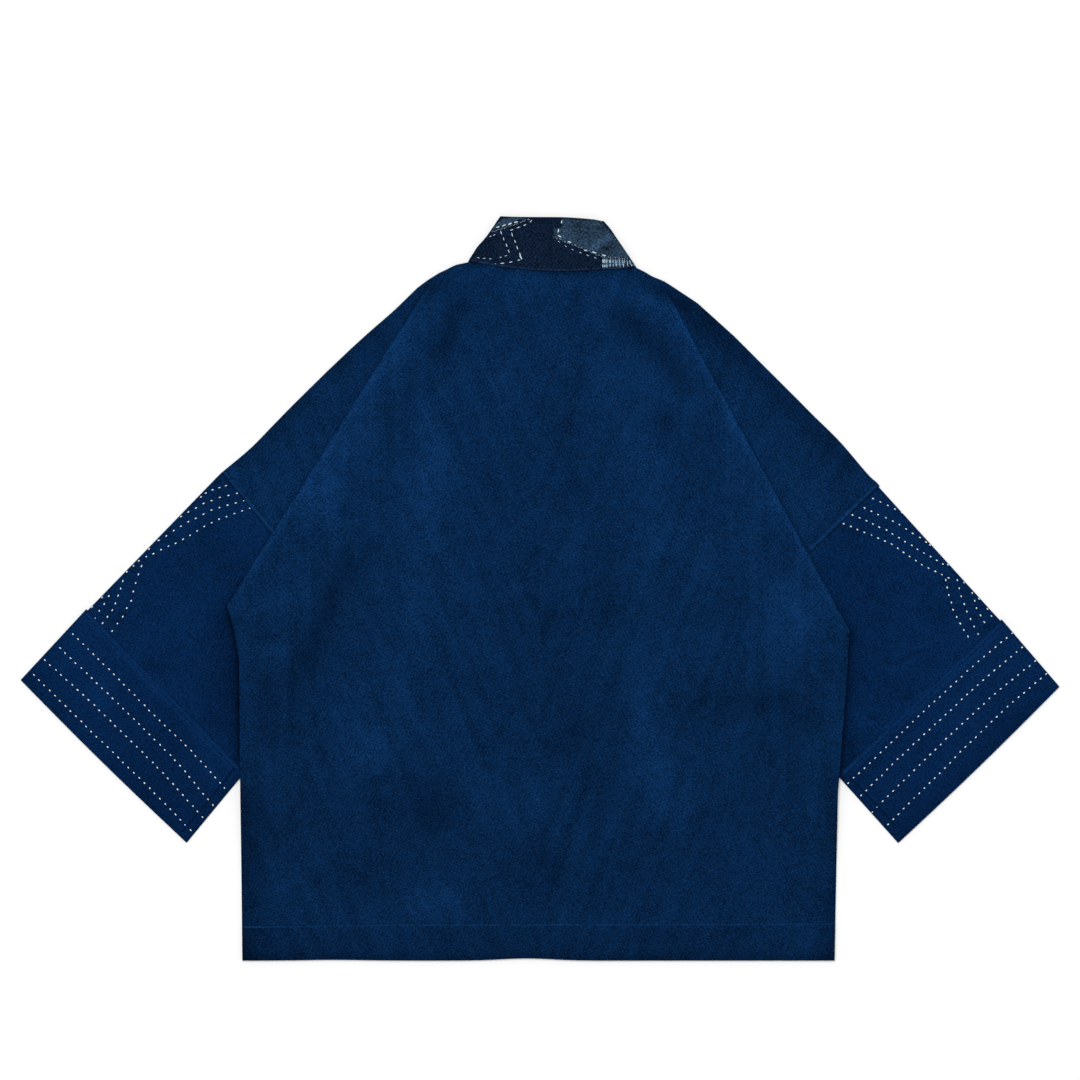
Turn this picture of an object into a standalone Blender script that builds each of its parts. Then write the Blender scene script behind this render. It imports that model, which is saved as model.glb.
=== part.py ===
# A haori laid flat with its back up and its sleeves drawn down, so that a pleat forms from each
# shoulder to each underarm and the body lies over the sleeve there.
# Every panel is cut flat, in the shape that it has before it is laid, and then folded: the body
# stays where it was cut, a strip turns under at the pleat, and the sleeve comes out below it.
# X runs across the garment, Y from hem to collar and Z up from the table that it lies on.
# Sizes are millimetres until the meshes are made.

import math

import bpy
import numpy as np
from mathutils import Vector
from mathutils.geometry import delaunay_2d_cdt

MM = 0.001

# Cloth, the room between cloth lying on cloth, and the room at a seam
CLOTH = 1.2
GAP = 0.4
SEAM = 0.3
HEM_CLOTH = 2.0
CUFF_CLOTH = 1.4
COLLAR_CLOTH = 2.4

# Body
HEM_Y = -390.5
HEM_DEPTH = 35.0
HEM_STEP = 6.0
CENTRE_X = 13.0

# Collar: its band, its level behind the neck, and its run from the shoulder fold to the centre
COLLAR_WIDTH = 55.0
COLLAR_BOW = 1.5
COLLAR_DROOP = 2.2
DROOP_STARTS = 8.0
DROOP_HALF_WIDTH = 45.0
FOLD_WIDTH = 47.0
FOLD_WIDENS = 60.0
FOLD_ROWS = (22.0, 50.0)
BAND_TURN = 60.0
PATCH_CLOTH = 0.8

# Neck: the dip of the collar's seam, and the back's cut edge, in from its corners and over the seam
NECK_DIP = 7.5
NECK_UNDER_COLLAR = 7.0
NECK_CUT = ((3.0, -3.8), (9.0, -1.5), (18.0, NECK_UNDER_COLLAR))
FRONT_STARTS = 0.12

# Cuffs
CUFF_LAP = 10.0
CUFF_BOW = 1.6

# How far the cloth takes to climb over what lies under it, and the room left beside that
CUFF_CLIMB = 15.0
BAND_CLIMB = 16.0
BAND_ROOM = 8.0
PLEAT_CLIMB = 38.0
PLEAT_FADE = 100.0
PLEAT_OPENS = 42.0
SLEEVE_ROOM = 12.0
VALLEY_ROOM = 5.0
VALLEY_OPENS = 60.0
APEX_ROOM = 15.0
APEX_SPREAD = 1.5
UNDERARM_ROOM = 2.4

# Which way the back's shoulder edge runs as it curls down, across and up the cloth
CURL_RUN = np.array((0.3, 1.0))

# Facets: the grid inside a panel, the steps along its edges, and those round a fold
GRID = 34.0
EDGE_STEP = 26.0
EDGE_ROOM = 3.0
PATCH_STEP = 12.0
FOLD_FACETS = 4
SLEEVE_FACETS = 2
COLLAR_FOLD_STEPS = 7
NECK_STEPS = 6
BAND_TURN_STEPS = 5
BAND_STEPS = 11
BAND_ACROSS_STEPS = 3
ON_LINE = 0.02

# Distances from the pleat's apex at which its lines are set out, and how far they run
PLEAT_STEPS = (10.0, 16.0, 22.0, 29.0, 37.0, 48.0, 62.0, 84.0, 115.0, *range(155, 600, 45))
BODY_PLEAT_REACH = 445.0
SLEEVE_PLEAT_REACH = 600.0
CLIMB_SHARES = (0.0, 0.25, 0.5, 0.75, 1.0)
CLIMB_STARTS = 8.0
CLIMB_STEP = 48.0
CLIMB_REACH = 560.0

# Shares of the shoulder's length at which it has a point
SHOULDER_SHARES = (0.0, 0.05, 0.09, 0.13, 0.17, 0.21, 0.28, 0.36, 0.45, 0.55, 0.65, 0.76, 0.88, 1.0)

# Ends of the lines across the hem and beside the collar's front band, and how far past an edge
# lines run: in millimetres on the body, and as a share of the cuff's seam at the cuffs
HEM_LINE_END = 330.0
BAND_LINE_END = 220.0
OVERRUN = 1.0
CUFF_OVERRUN = 0.1

# Six layers lie in the pleat, and the upper two are the body
PLEAT_HEIGHT = 4 * (CLOTH + GAP)

# Where each half of the garment lies: distance out from X 0, and Y.
# turn is the angle by which the sleeve was drawn down, in degrees.
SIDES = {
    "left": {
        "sign": -1,
        "neck": (77.7, 343.4),
        "apex": (107.1, 330.2),
        "foot": (327.6, -21.3),
        "turn": 23.0,
        "shoulder": ((0.0, 0.0), (0.09, -1.8), (0.16, 1.5), (0.5, 2.2), (0.8, -0.6), (1.0, 0.0)),
        "armhole_top": (334.7, 121.5),
        "underarm": (194.1, -50.8),
        "cuff_top": (476.3, -21.6),
        "cuff_tip": (545.3, -96.0),
        "cuff_heel": (371.0, -266.9),
        "cuff_low": (309.4, -192.2),
        "side_seam": ((320.5, -45.0), (315.5, -75.0), (314.6, -198.0)),
        "hem_corner": (312.4, HEM_Y),
        "collar_seam": (74.2, 342.9),
        "collar_free": (42.0, 390.3),
    },
    "right": {
        "sign": 1,
        "neck": (104.0, 337.6),
        "apex": (121.8, 328.1),
        "foot": (324.5, -48.8),
        "turn": 21.0,
        "shoulder": ((0.0, 0.0), (0.05, -2.4), (0.21, 7.3), (0.36, 8.8), (0.7, 6.4), (1.0, 0.0)),
        "armhole_top": (355.6, 106.6),
        "underarm": (192.2, -63.4),
        "cuff_top": (484.6, -32.4),
        "cuff_tip": (545.3, -103.0),
        "cuff_heel": (375.9, -267.2),
        "cuff_low": (312.0, -195.9),
        "side_seam": ((322.0, -90.0), (317.5, -150.0), (312.5, -215.0)),
        "hem_corner": (309.2, HEM_Y),
        "collar_seam": (100.8, 337.8),
        "collar_free": (68.0, 386.3),
    },
}

# Faded patches on the collar behind the neck: the corners of each, X and Y
PATCHES = {
    "patch_left": [(-47.9, 375.3), (-22.9, 385.3), (-9.0, 387.6), (-37.9, 388.2)],
    "patch_right": [
        (14.2, 369.2),
        (67.7, 347.4),
        (90.0, 345.4),
        (62.5, 384.6),
        (23.5, 387.4),
        (23.1, 378.7),
        (14.2, 378.2),
    ],
}

INDIGO = (0.012, 0.075, 0.19)
SLEEVE_INDIGO = (0.011, 0.062, 0.165)
COLLAR_INDIGO = (0.01, 0.025, 0.06)
PATCH_BLUE = (0.045, 0.085, 0.14)


def smooth_step(t):
    """0 below 0, 1 above 1, and a smooth climb between."""
    t = min(max(t, 0.0), 1.0)
    return t * t * (3.0 - 2.0 * t)


def unit(vector):
    return np.array(vector) / np.linalg.norm(vector)


def spaced(line, step=EDGE_STEP):
    """The same line, with no stretch longer than the step."""
    points = [np.array(line[0], float)]
    for start, end in zip(line, line[1:]):
        start, end = np.array(start, float), np.array(end, float)
        count = max(1, math.ceil(np.linalg.norm(end - start) / step))
        points += [start + (end - start) * k / count for k in range(1, count + 1)]
    return points


def line_meets(start, run, other, other_run):
    """Where two lines cross."""
    t = np.linalg.solve(np.array((run, -other_run)).T, other - start)[0]
    return start + t * run


class Half:
    """One half of the garment: its cut, and how its pleat folds a cut point to where it lies."""

    def __init__(self, row):
        self.sign = row["sign"]
        self.row = {key: np.array(value) for key, value in row.items()}
        self.apex = self.row["apex"]
        self.cuff = [self.row[key] for key in ("cuff_top", "cuff_tip", "cuff_heel", "cuff_low")]
        foot = self.row["foot"] - self.apex
        self.fold_angle = math.atan2(-foot[1], foot[0])
        self.turn = math.radians(row["turn"])
        self.valley_angle = self.fold_angle + self.turn / 2
        self.armhole_top = self.unturned(self.row["armhole_top"])
        self.underarm = self.unturned(self.row["underarm"])
        self.shoulder = self.shoulder_line()

    def unturned(self, laid):
        """The cut point of a point on the drawn-down sleeve."""
        out, up = laid - self.apex
        c, s = math.cos(self.turn), math.sin(self.turn)
        return self.apex + np.array((out * c - up * s, out * s + up * c))

    def polar(self, point):
        """Distance from the pleat's apex, and angle below the horizontal."""
        out, up = np.asarray(point) - self.apex
        angle = math.atan2(-up, out)
        if angle < -math.pi / 2:
            angle += 2 * math.pi
        return math.hypot(out, up), angle

    def at(self, radius, angle):
        return self.apex + radius * np.array((math.cos(angle), -math.sin(angle)))

    def bends(self, radius, layer):
        """Turn, both bend radii, flat length between the bends, and how far the cloth is eased in."""
        tight = (CLOTH + GAP) / 2
        wide = PLEAT_HEIGHT / 2 - tight
        first, second = (wide, tight) if layer == "back" else (tight, wide)
        lost = radius * self.turn
        low, high = 0.0, math.pi
        while high - low > 1e-6:
            middle = (low + high) / 2
            if (first + second) * (middle - math.sin(middle)) < lost:
                low = middle
            else:
                high = middle
        turn = min(high, math.pi * smooth_step(radius / PLEAT_OPENS))
        flat = max(0.0, lost - math.pi * (first + second)) / 2
        flat *= smooth_step(radius / PLEAT_OPENS - 1.0)
        bent = (first + second) * turn + flat
        reach = (first + second) * math.sin(turn) + flat * math.cos(turn)
        return turn, first, second, flat, bent / max(reach + lost, 1e-6)

    def pleat_rise(self, radius):
        """How high the body is lifted beside the fold, at this distance from the apex."""
        return PLEAT_HEIGHT / 2 * (1 - math.cos(self.bends(radius, "back")[0]))

    def body_rise(self, point):
        """How high the body's two layers are lifted by the pleat and the sleeve under them."""
        radius, angle = self.polar(point)
        behind = angle - self.valley_angle - math.pi / 2
        inside = radius * (math.cos(behind) if behind < 0.0 else 1.0 + behind / APEX_SPREAD)
        inside -= VALLEY_ROOM * min(1.0, radius / VALLEY_OPENS)
        below = self.row["cuff_low"][1] - SLEEVE_ROOM - point[1]
        near = 1.0 - smooth_step(inside / PLEAT_CLIMB)
        return self.pleat_rise(radius) * near * (1.0 - smooth_step(below / PLEAT_FADE))

    def lay(self, point, layer):
        """Distance out, Y, and height over the layer's own level, of a cut point."""
        radius, angle = self.polar(point)
        past = radius * (self.fold_angle - angle)
        if past <= 0.0:
            return point[0], point[1], self.body_rise(point)
        turn, first, second, flat, ease = self.bends(radius, layer)
        height = PLEAT_HEIGHT / 2 * (1 - math.cos(turn))
        bent = past * ease
        beyond = bent - first * turn - flat
        if bent < first * turn:
            tilt = bent / first
            along, drop = first * math.sin(tilt), first * (1 - math.cos(tilt))
        elif beyond < 0.0:
            straight = bent - first * turn
            along = first * math.sin(turn) + straight * math.cos(turn)
            drop = first * (1 - math.cos(turn)) + straight * math.sin(turn)
        elif beyond < second * turn:
            tilt = turn - beyond / second
            along = (first + second) * math.sin(turn) + flat * math.cos(turn)
            along -= second * math.sin(tilt)
            drop = height - second * (1 - math.cos(tilt))
        else:
            along, drop = past - radius * self.turn, height
        out, up = self.at(radius, self.fold_angle - along / radius)
        return out, up, height - drop

    def crease_lines(self, reach, layers, facets=FOLD_FACETS):
        """The lines on the cut cloth along which the pleat bends, out to this distance."""
        steps = [step for step in PLEAT_STEPS if step < reach] + [reach]
        lines = []
        for layer in layers:
            for facet in range(2 * facets + 2):
                line = []
                for radius in steps:
                    turn, first, second, flat, ease = self.bends(radius, layer)
                    bent = first * turn * min(facet, facets) / facets
                    if facet > facets:
                        bent += flat + second * turn * (facet - facets - 1) / facets
                    line.append(self.at(radius, self.fold_angle - bent / ease / radius))
                lines.append(line)
        return lines

    def climb_lines(self):
        """The lines on the body along which it climbs over the pleat."""
        lines = []
        for share in CLIMB_SHARES:
            inside = VALLEY_ROOM + PLEAT_CLIMB * share
            radii = np.arange(inside + CLIMB_STARTS, CLIMB_REACH, CLIMB_STEP)
            lines.append([self.at(r, self.valley_angle + math.asin(inside / r)) for r in radii])
        return lines

    def shoulder_line(self):
        """The cut shoulder, from the neck out to the armhole."""
        start, end = self.row["neck"], self.armhole_top
        across = unit((start[1] - end[1], end[0] - start[0]))
        shares, rises = self.row["shoulder"].T
        along = [(t, across * np.interp(t, shares, rises)) for t in SHOULDER_SHARES]
        return [start + (end - start) * t + rise for t, rise in along]

    def armhole(self, shift):
        """The cut armhole from shoulder to underarm, moved towards the sleeve by the shift."""
        run = self.underarm - self.armhole_top
        away = unit((-run[1], run[0]))
        return [p + away * shift for p in spaced([self.armhole_top, self.underarm])]

    def body_outline(self, inset=0.0):
        """A body half's cut edge, from the neck round to the hem. inset is at the shoulder."""
        run = self.shoulder[-1] - self.shoulder[0]
        down = unit((run[1], -run[0])) * inset
        armhole = self.armhole(-SEAM / 2)
        armhole[0] = armhole[0] + unit(self.underarm - self.armhole_top) * inset
        run = self.underarm - self.armhole_top
        armhole[-1] = armhole[-1] + unit((run[1], -run[0])) * UNDERARM_ROOM
        side = [armhole[-1], self.row["foot"], *self.row["side_seam"], self.row["hem_corner"]]
        return [p + down for p in self.shoulder[:-1]] + armhole[:-1] + spaced(side)

    def mirrored(self, points):
        """Points given as distance out and Y, at their own X."""
        return [np.array((self.sign * p[0], p[1])) for p in points]


HALVES = {name: Half(row) for name, row in SIDES.items()}


# Flat cloth, cut to triangles whose edges follow its creases

def distance_to_line(points, line):
    """How far each point is from a polyline."""
    best = np.full(len(points), np.inf)
    for start, end in zip(line, line[1:]):
        run = end - start
        t = np.clip(((points - start) @ run) / max(run @ run, 1e-9), 0, 1)
        best = np.minimum(best, np.linalg.norm(points - start - t[:, None] * run, axis=1))
    return best


def inside_outline(points, outline):
    """Whether each point is inside a closed outline."""
    inside = np.zeros(len(points), bool)
    for (ax, ay), (bx, by) in zip(outline, outline[1:] + outline[:1]):
        crosses = (ay > points[:, 1]) != (by > points[:, 1])
        rise = by - ay if by != ay else 1e-12
        inside ^= crosses & (points[:, 0] < (bx - ax) * (points[:, 1] - ay) / rise + ax)
    return inside


def cut_cloth(outline, lines, edge_lines=()):
    """Points and upward triangles of a flat piece with this outline, creased along these lines.

    Only an edge line has points close beside the outline.
    """
    corners = np.array(outline)
    low, high = corners.min(axis=0), corners.max(axis=0)
    xs, ys = (np.arange(math.floor(low[k] / GRID) * GRID, high[k], GRID) for k in range(2))
    middle = np.array([(x, y) for y in ys for x in xs])
    for line in [outline + outline[:1], *lines, *edge_lines]:
        middle = middle[distance_to_line(middle, line) > GRID / 4]
    middle = middle[inside_outline(middle, outline)]
    points, edges = [Vector(p) for p in outline], []
    for line in [*lines, *edge_lines]:
        first = len(points)
        clear = distance_to_line(np.array(line), outline + outline[:1]) > EDGE_ROOM
        clear[[0, -1]] = True
        if any(line is other for other in edge_lines):
            clear[:] = True
        points += [Vector(p) for p, keep in zip(line, clear) if keep]
        edges += [(k, k + 1) for k in range(first, len(points) - 1)]
    points += [Vector(p) for p in middle]
    made = delaunay_2d_cdt(points, edges, [list(range(len(outline)))], 1, 1e-3)
    flat = np.array([tuple(v) for v in made[0]])
    triangles = np.array([tuple(f) for f in made[2]])
    triangles = triangles[inside_outline(flat[triangles].mean(axis=1), outline)]
    a, b, c = (flat[triangles[:, k]] for k in range(3))
    area = np.cross(b - a, c - a)
    triangles[area < 0] = triangles[area < 0][:, ::-1]
    triangles = triangles[np.abs(area) > 1e-4]
    used, triangles = np.unique(triangles, return_inverse=True)
    return flat[used], triangles.reshape(-1, 3)


def rim_edges(triangles):
    """The edges that only one triangle has, each in that triangle's direction."""
    ends = np.concatenate([triangles[:, [0, 1]], triangles[:, [1, 2]], triangles[:, [2, 0]]])
    known = {(int(a), int(b)) for a, b in ends}
    return [edge for edge in sorted(known) if edge[::-1] not in known]


def add_cloth(name, points, faces, thickness, colour, collection, thin=None):
    """A surface of cloth in the middle of its thickness, given its wall. thin is single cloth."""
    mesh = bpy.data.meshes.new(name)
    mesh.from_pydata([tuple(float(c) * MM for c in p) for p in points], [], faces)
    mesh.update()
    material = bpy.data.materials.new(name)
    material.use_nodes = True
    shader = material.node_tree.nodes["Principled BSDF"]
    shader.inputs["Base Color"].default_value = (*colour, 1.0)
    shader.inputs["Roughness"].default_value = 0.9
    shader.inputs["Metallic"].default_value = 0.0
    mesh.materials.append(material)
    cloth = bpy.data.objects.new(name, mesh)
    collection.objects.link(cloth)
    wall = cloth.modifiers.new("Wall", "SOLIDIFY")
    wall.thickness = thickness * MM
    wall.offset = 0.0
    wall.use_quality_normals = True
    if thin:
        doubled = cloth.vertex_groups.new(name="Turned up")
        for index, point in enumerate(points):
            doubled.add([index], hem_share(point[1]), "REPLACE")
        wall.vertex_group = doubled.name
        wall.thickness_vertex_group = thin / thickness


# Body

def hem_share(y):
    """0 on single cloth, 1 on the turned-up hem."""
    return smooth_step((HEM_Y + HEM_DEPTH + HEM_STEP - y) / HEM_STEP)


def band_rise(half, point):
    """How far the back is lifted where the collar's front band lies under it."""
    edge = half.band_edge
    outside = point[0] - np.interp(point[1], edge[:, 1], edge[:, 0]) - BAND_ROOM
    return (COLLAR_CLOTH - CLOTH) * (1.0 - smooth_step(outside / BAND_CLIMB))


def shoulder_curl(half, point):
    """How far the back's edge turns down over the front's along the shoulder."""
    tight = (CLOTH + GAP) / 2
    short = 1.0 - min(1.0, distance_to_line(np.array([point]), half.shoulder)[0] / tight)
    clear = smooth_step(half.polar(point)[0] / APEX_ROOM - 1.0)
    return tight * (1.0 - math.sqrt(1.0 - short * short)) * clear


def lay_body(point, layer):
    """Where a cut point of a front or of the back lies."""
    half = HALVES["left" if point[0] < 0 else "right"]
    flat = (half.sign * point[0], point[1])
    out, y, lift = half.lay(flat, layer)
    cloth = CLOTH + (HEM_CLOTH - CLOTH) * hem_share(y)
    level = cloth / 2
    if layer == "back":
        level += cloth + GAP - shoulder_curl(half, flat)
        if half.polar(flat)[1] >= half.fold_angle:
            level += min(band_rise(half, flat), COLLAR_CLOTH - cloth)
    return half.sign * out, y, level + lift


def neck_seam(x):
    """The Y of the collar's lower edge over the back neck."""
    left, right = (half.mirrored([half.row["collar_seam"]])[0] for half in HALVES.values())
    t = (x - left[0]) / (right[0] - left[0])
    return left[1] + (right[1] - left[1]) * t - NECK_DIP * 4.0 * t * (1.0 - t)


def body_lines(half, layer):
    """The lines that a body half's facets follow: pleat, climb and hem."""
    lines = half.crease_lines(BODY_PLEAT_REACH, [layer]) + half.climb_lines()
    for y in (HEM_Y + HEM_DEPTH, HEM_Y + HEM_DEPTH + HEM_STEP):
        lines.append(spaced([(-OVERRUN, y), (HEM_LINE_END, y)]))
    return [half.mirrored(line) for line in lines]


def make_back(collection):
    left, right = (half.mirrored(half.body_outline()) for half in HALVES.values())
    neck = []
    for inset, above in NECK_CUT:
        for corner, side in ((left[0], 1), (right[0], -1)):
            x = corner[0] + side * inset
            neck.append(np.array((x, neck_seam(x) + above)))
    for x in np.linspace(neck[-2][0], neck[-1][0], NECK_STEPS)[1:-1]:
        neck.append(np.array((x, neck_seam(x) + NECK_UNDER_COLLAR)))
    neck.sort(key=lambda p: p[0])
    hem = spaced([left[-1], right[-1]])[1:-1]
    outline = left[::-1] + neck + right + hem[::-1]
    lines = [line for half in HALVES.values() for line in body_lines(half, "back")]
    for side in (-1, 1):
        for outside in (BAND_ROOM, BAND_ROOM + BAND_CLIMB):
            x = CENTRE_X + side * (COLLAR_WIDTH + outside)
            lines.append(spaced([(x, HEM_Y - OVERRUN), (x, BAND_LINE_END)]))
    curls = [[p - CURL_RUN * (CLOTH + GAP) / 2 for p in half.shoulder] for half in HALVES.values()]
    curls = [half.mirrored(curl) for half, curl in zip(HALVES.values(), curls)]
    flat, triangles = cut_cloth(outline, lines, curls)
    points = [lay_body(p, "back") for p in flat]
    add_cloth("back", points, triangles.tolist(), HEM_CLOTH, INDIGO, collection, CLOTH)


# Collar: two bands, joined behind the neck, each running over the shoulder and down to the hem

def collar_level(x, y):
    """The height of the band over the back neck, which sinks between the front bands."""
    top = COLLAR_CLOTH + GAP + CLOTH + SEAM + COLLAR_CLOTH / 2
    up = (y - neck_seam(x) - DROOP_STARTS) / (COLLAR_WIDTH - DROOP_STARTS)
    up = min(max(up, 0.0), 1.0)
    aside = min(abs(x - CENTRE_X) / DROOP_HALF_WIDTH, 1.0)
    return top - COLLAR_DROOP * up * (1.0 - aside * aside)


def collar_fold(half):
    """(seam point, free point) with their heights, round the fold beside the neck."""
    seam, free = half.row["collar_seam"], half.row["collar_free"]
    up = unit(free - seam)
    away = np.array((up[1], -up[0]))
    level = collar_level(half.sign * seam[0], seam[1])
    radius = (level - COLLAR_CLOTH / 2) / 2
    inset = np.array(((radius + COLLAR_CLOTH / 2) / away[0], 0.0))
    rows = []
    for angle in np.linspace(0.0, math.pi, COLLAR_FOLD_STEPS):
        slip = away * math.sin(angle) + up * angle * up[0] / away[0]
        height = level - radius * (1 - math.cos(angle))
        ends = (end - inset + slip * radius for end in (seam, free))
        rows.append([(*end, height) for end in ends])
    return rows


def collar_front(half):
    """The same from that fold down to the hem."""
    seam, free = (np.array(end[:2]) for end in collar_fold(half)[-1])
    up = unit(free - seam)
    heading = 2.0 * up[0] * up - np.array((1.0, 0.0))
    slope = math.acos(-heading[1])
    start = (seam + free) / 2
    goal = half.sign * CENTRE_X + (COLLAR_WIDTH + SEAM) / 2
    turn_run = BAND_TURN * (1.0 - math.cos(slope)) / slope
    straight = (start[0] - goal - turn_run) / math.sin(slope)
    rows = []
    for run in (*FOLD_ROWS, *np.linspace(straight, straight + BAND_TURN, BAND_TURN_STEPS)):
        turned = max(0.0, run - straight)
        now = slope * (1.0 - turned / BAND_TURN)
        centre = start + heading * min(run, straight)
        if turned > 0.0:
            bend = np.array((math.cos(now) - math.cos(slope), math.sin(slope) - math.sin(now)))
            centre = centre - bend * BAND_TURN / slope
        width = FOLD_WIDTH + (COLLAR_WIDTH - FOLD_WIDTH) * smooth_step(run / FOLD_WIDENS)
        across = np.array((math.cos(now), -math.sin(now))) * width / 2
        rows.append((centre + across, centre - across))
    for y in np.linspace(rows[-1][0][1], HEM_Y, BAND_STEPS)[1:]:
        rows.append(((goal + COLLAR_WIDTH / 2, y), (goal - COLLAR_WIDTH / 2, y)))
    return [[(*end, COLLAR_CLOTH / 2) for end in ends] for ends in rows]


for each_half in HALVES.values():
    each_half.band_edge = np.array([row[0][:2] for row in collar_front(each_half)[::-1]])


def collar_back(half):
    """The same from the seam behind the neck out to that fold."""
    fold = collar_fold(half)[0]
    centre_x = half.sign * CENTRE_X + SEAM / 2
    free_y = sum(side.row["collar_free"][1] for side in HALVES.values()) / 2 + COLLAR_BOW
    rows = []
    for t in np.linspace(0.0, 1.0, NECK_STEPS)[:-1]:
        seam_x, free_x = (centre_x + (end[0] - centre_x) * t for end in fold)
        seam_end = seam_x, neck_seam(half.sign * seam_x)
        free_end = free_x, free_y + (fold[1][1] - free_y) * t ** 2
        rows.append([(x, y, collar_level(half.sign * x, y)) for x, y in (seam_end, free_end)])
    return rows


def make_collar(side, collection):
    half = HALVES[side]
    band = collar_back(half) + collar_fold(half) + collar_front(half)
    across = np.linspace(0.0, 1.0, BAND_ACROSS_STEPS)
    mirror = np.array((half.sign, 1.0, 1.0))
    points = [mirror * (np.array(s) * (1 - t) + np.array(f) * t) for s, f in band for t in across]
    size = len(across)
    faces = []
    for row in range(len(band) - 1):
        for k in range(size - 1):
            corner = row * size + k
            face = [corner, corner + size, corner + size + 1, corner + 1]
            faces.append(face if half.sign > 0 else face[::-1])
    add_cloth("collar_" + side, points, faces, COLLAR_CLOTH, COLLAR_INDIGO, collection)


def make_patch(name, collection):
    """A patch over the back neck, made from the collar's own surface, moved up."""
    outline = spaced([np.array(p) for p in PATCHES[name] + PATCHES[name][:1]], PATCH_STEP)[:-1]
    flat, triangles = cut_cloth(outline, [])
    above = (COLLAR_CLOTH + PATCH_CLOTH) / 2 + SEAM
    points = [(x, y, collar_level(x, y) + above) for x, y in flat]
    add_cloth(name, points, triangles.tolist(), PATCH_CLOTH, PATCH_BLUE, collection)


# Fronts, each from the side seam to the collar's band

def make_front(side, collection):
    half = HALVES[side]
    outer = half.body_outline(CLOTH + SEAM)
    band = [np.array(row[0][:2]) for row in collar_front(half)]
    seam, first = np.array(collar_fold(half)[-1][0][:2]), band[0]
    edge = [seam + (first - seam) * FRONT_STARTS, *band]
    inner = []
    for before, point, after in zip(edge[:1] + edge, edge, edge[1:] + edge[-1:]):
        run = unit(after - before)
        inner.append(point + np.array((-run[1], run[0])) * SEAM)
    inner[-1][1] = HEM_Y
    hem = spaced([outer[-1], inner[-1]])[1:-1]
    outline = half.mirrored(outer + hem + inner[::-1])
    flat, triangles = cut_cloth(outline, body_lines(half, "front"))
    points = [lay_body(p, "front") for p in flat]
    add_cloth("front_" + side, points, triangles.tolist(), HEM_CLOTH, INDIGO, collection, CLOTH)


# Sleeves and cuffs: flattened tubes, whose upper and lower edges are folds

def add_tube(name, outline, folds, lines, lay, cloth, colour, half, collection):
    """Two layers of one outline, joined round the edges that are folds and open elsewhere."""
    flat, triangles = cut_cloth(outline, lines)
    count = len(flat)
    near_fold = [distance_to_line(flat, fold) < ON_LINE for fold in folds]
    inward = np.zeros((count, 2))
    open_run = np.zeros((count, 2))
    bridges = []
    for a, b in rim_edges(triangles):
        run = unit(flat[b] - flat[a])
        if any(near[a] and near[b] for near in near_fold):
            inward[[a, b]] += (-run[1], run[0])
            bridges.append((a, b))
        else:
            open_run[a], open_run[b] = run, -run
    for corner in {end for edge in bridges for end in edge}:
        inward[corner] = unit(inward[corner])
        if open_run[corner].any():
            inward[corner] = open_run[corner] / (open_run[corner] @ inward[corner])
    flat = flat + inward * cloth / 2
    bend = inward * (cloth + GAP) / 2
    back = np.array([lay(p, "back") for p in flat + bend])
    front = np.array([lay(p, "front") for p in flat + bend])
    brow = [(np.array(lay(p, "back")) + np.array(lay(p, "front"))) / 2 for p in flat]
    points = np.concatenate([back, front, brow])
    faces = triangles.tolist() + (triangles[:, ::-1] + count).tolist()
    for a, b in bridges:
        faces.append([b, a, a + 2 * count, b + 2 * count])
        faces.append([b + 2 * count, a + 2 * count, a + count, b + count])
    used, numbers = np.unique(np.concatenate(faces), return_inverse=True)
    numbers = iter(numbers)
    faces = [[int(next(numbers)) for _ in face] for face in faces]
    points = points[used] * np.array((half.sign, 1.0, 1.0))
    if half.sign < 0:
        faces = [face[::-1] for face in faces]
    add_cloth(name, points, faces, cloth, colour, collection)


def make_sleeve(side, collection):
    half = HALVES[side]
    top, tip, heel, low = half.cuff
    armhole_top, underarm = half.row["armhole_top"], half.row["underarm"]
    sewn = low - top
    towards_hand = unit((-sewn[1], sewn[0]))
    inset = unit((top[1] - armhole_top[1], armhole_top[0] - top[0])) * (CUFF_CLOTH + 2 * SEAM)
    end = top + towards_hand * CUFF_LAP
    upper = [armhole_top, top + inset, line_meets(end, sewn, top + inset, tip - top)]
    lower = [line_meets(end, sewn, low - inset, heel - low), low - inset, underarm]
    seam = half.armhole(SEAM / 2)
    upper = spaced([seam[0]] + [half.unturned(p) for p in upper[1:]])
    lower = spaced([half.unturned(p) for p in lower[:-1]] + [seam[-1]])
    outline = upper + spaced([upper[-1], lower[0]])[1:-1] + lower + seam[::-1][1:-1]
    lines = half.crease_lines(SLEEVE_PLEAT_REACH, ["front", "back"], SLEEVE_FACETS)
    for back_off in (0.0, CUFF_CLIMB / 2, CUFF_CLIMB):
        shift = -towards_hand * back_off
        ends = (top + shift - sewn * CUFF_OVERRUN, low + shift + sewn * CUFF_OVERRUN)
        lines.append(spaced([half.unturned(p) for p in ends]))

    def lay(point, layer):
        out, y, lift = half.lay(point, layer)
        level = CLOTH / 2 + (CLOTH + GAP if layer == "back" else 0.0)
        climb = smooth_step(1.0 + (np.array((out, y)) - top) @ towards_hand / CUFF_CLIMB)
        if half.polar(point)[1] > half.fold_angle - half.turn / 2:
            climb = 0.0
        return out, y, level + lift + (CUFF_CLOTH + SEAM) * climb

    folds = (upper, lower)
    add_tube("sleeve_" + side, outline, folds, lines, lay, CLOTH, SLEEVE_INDIGO, half, collection)


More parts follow.
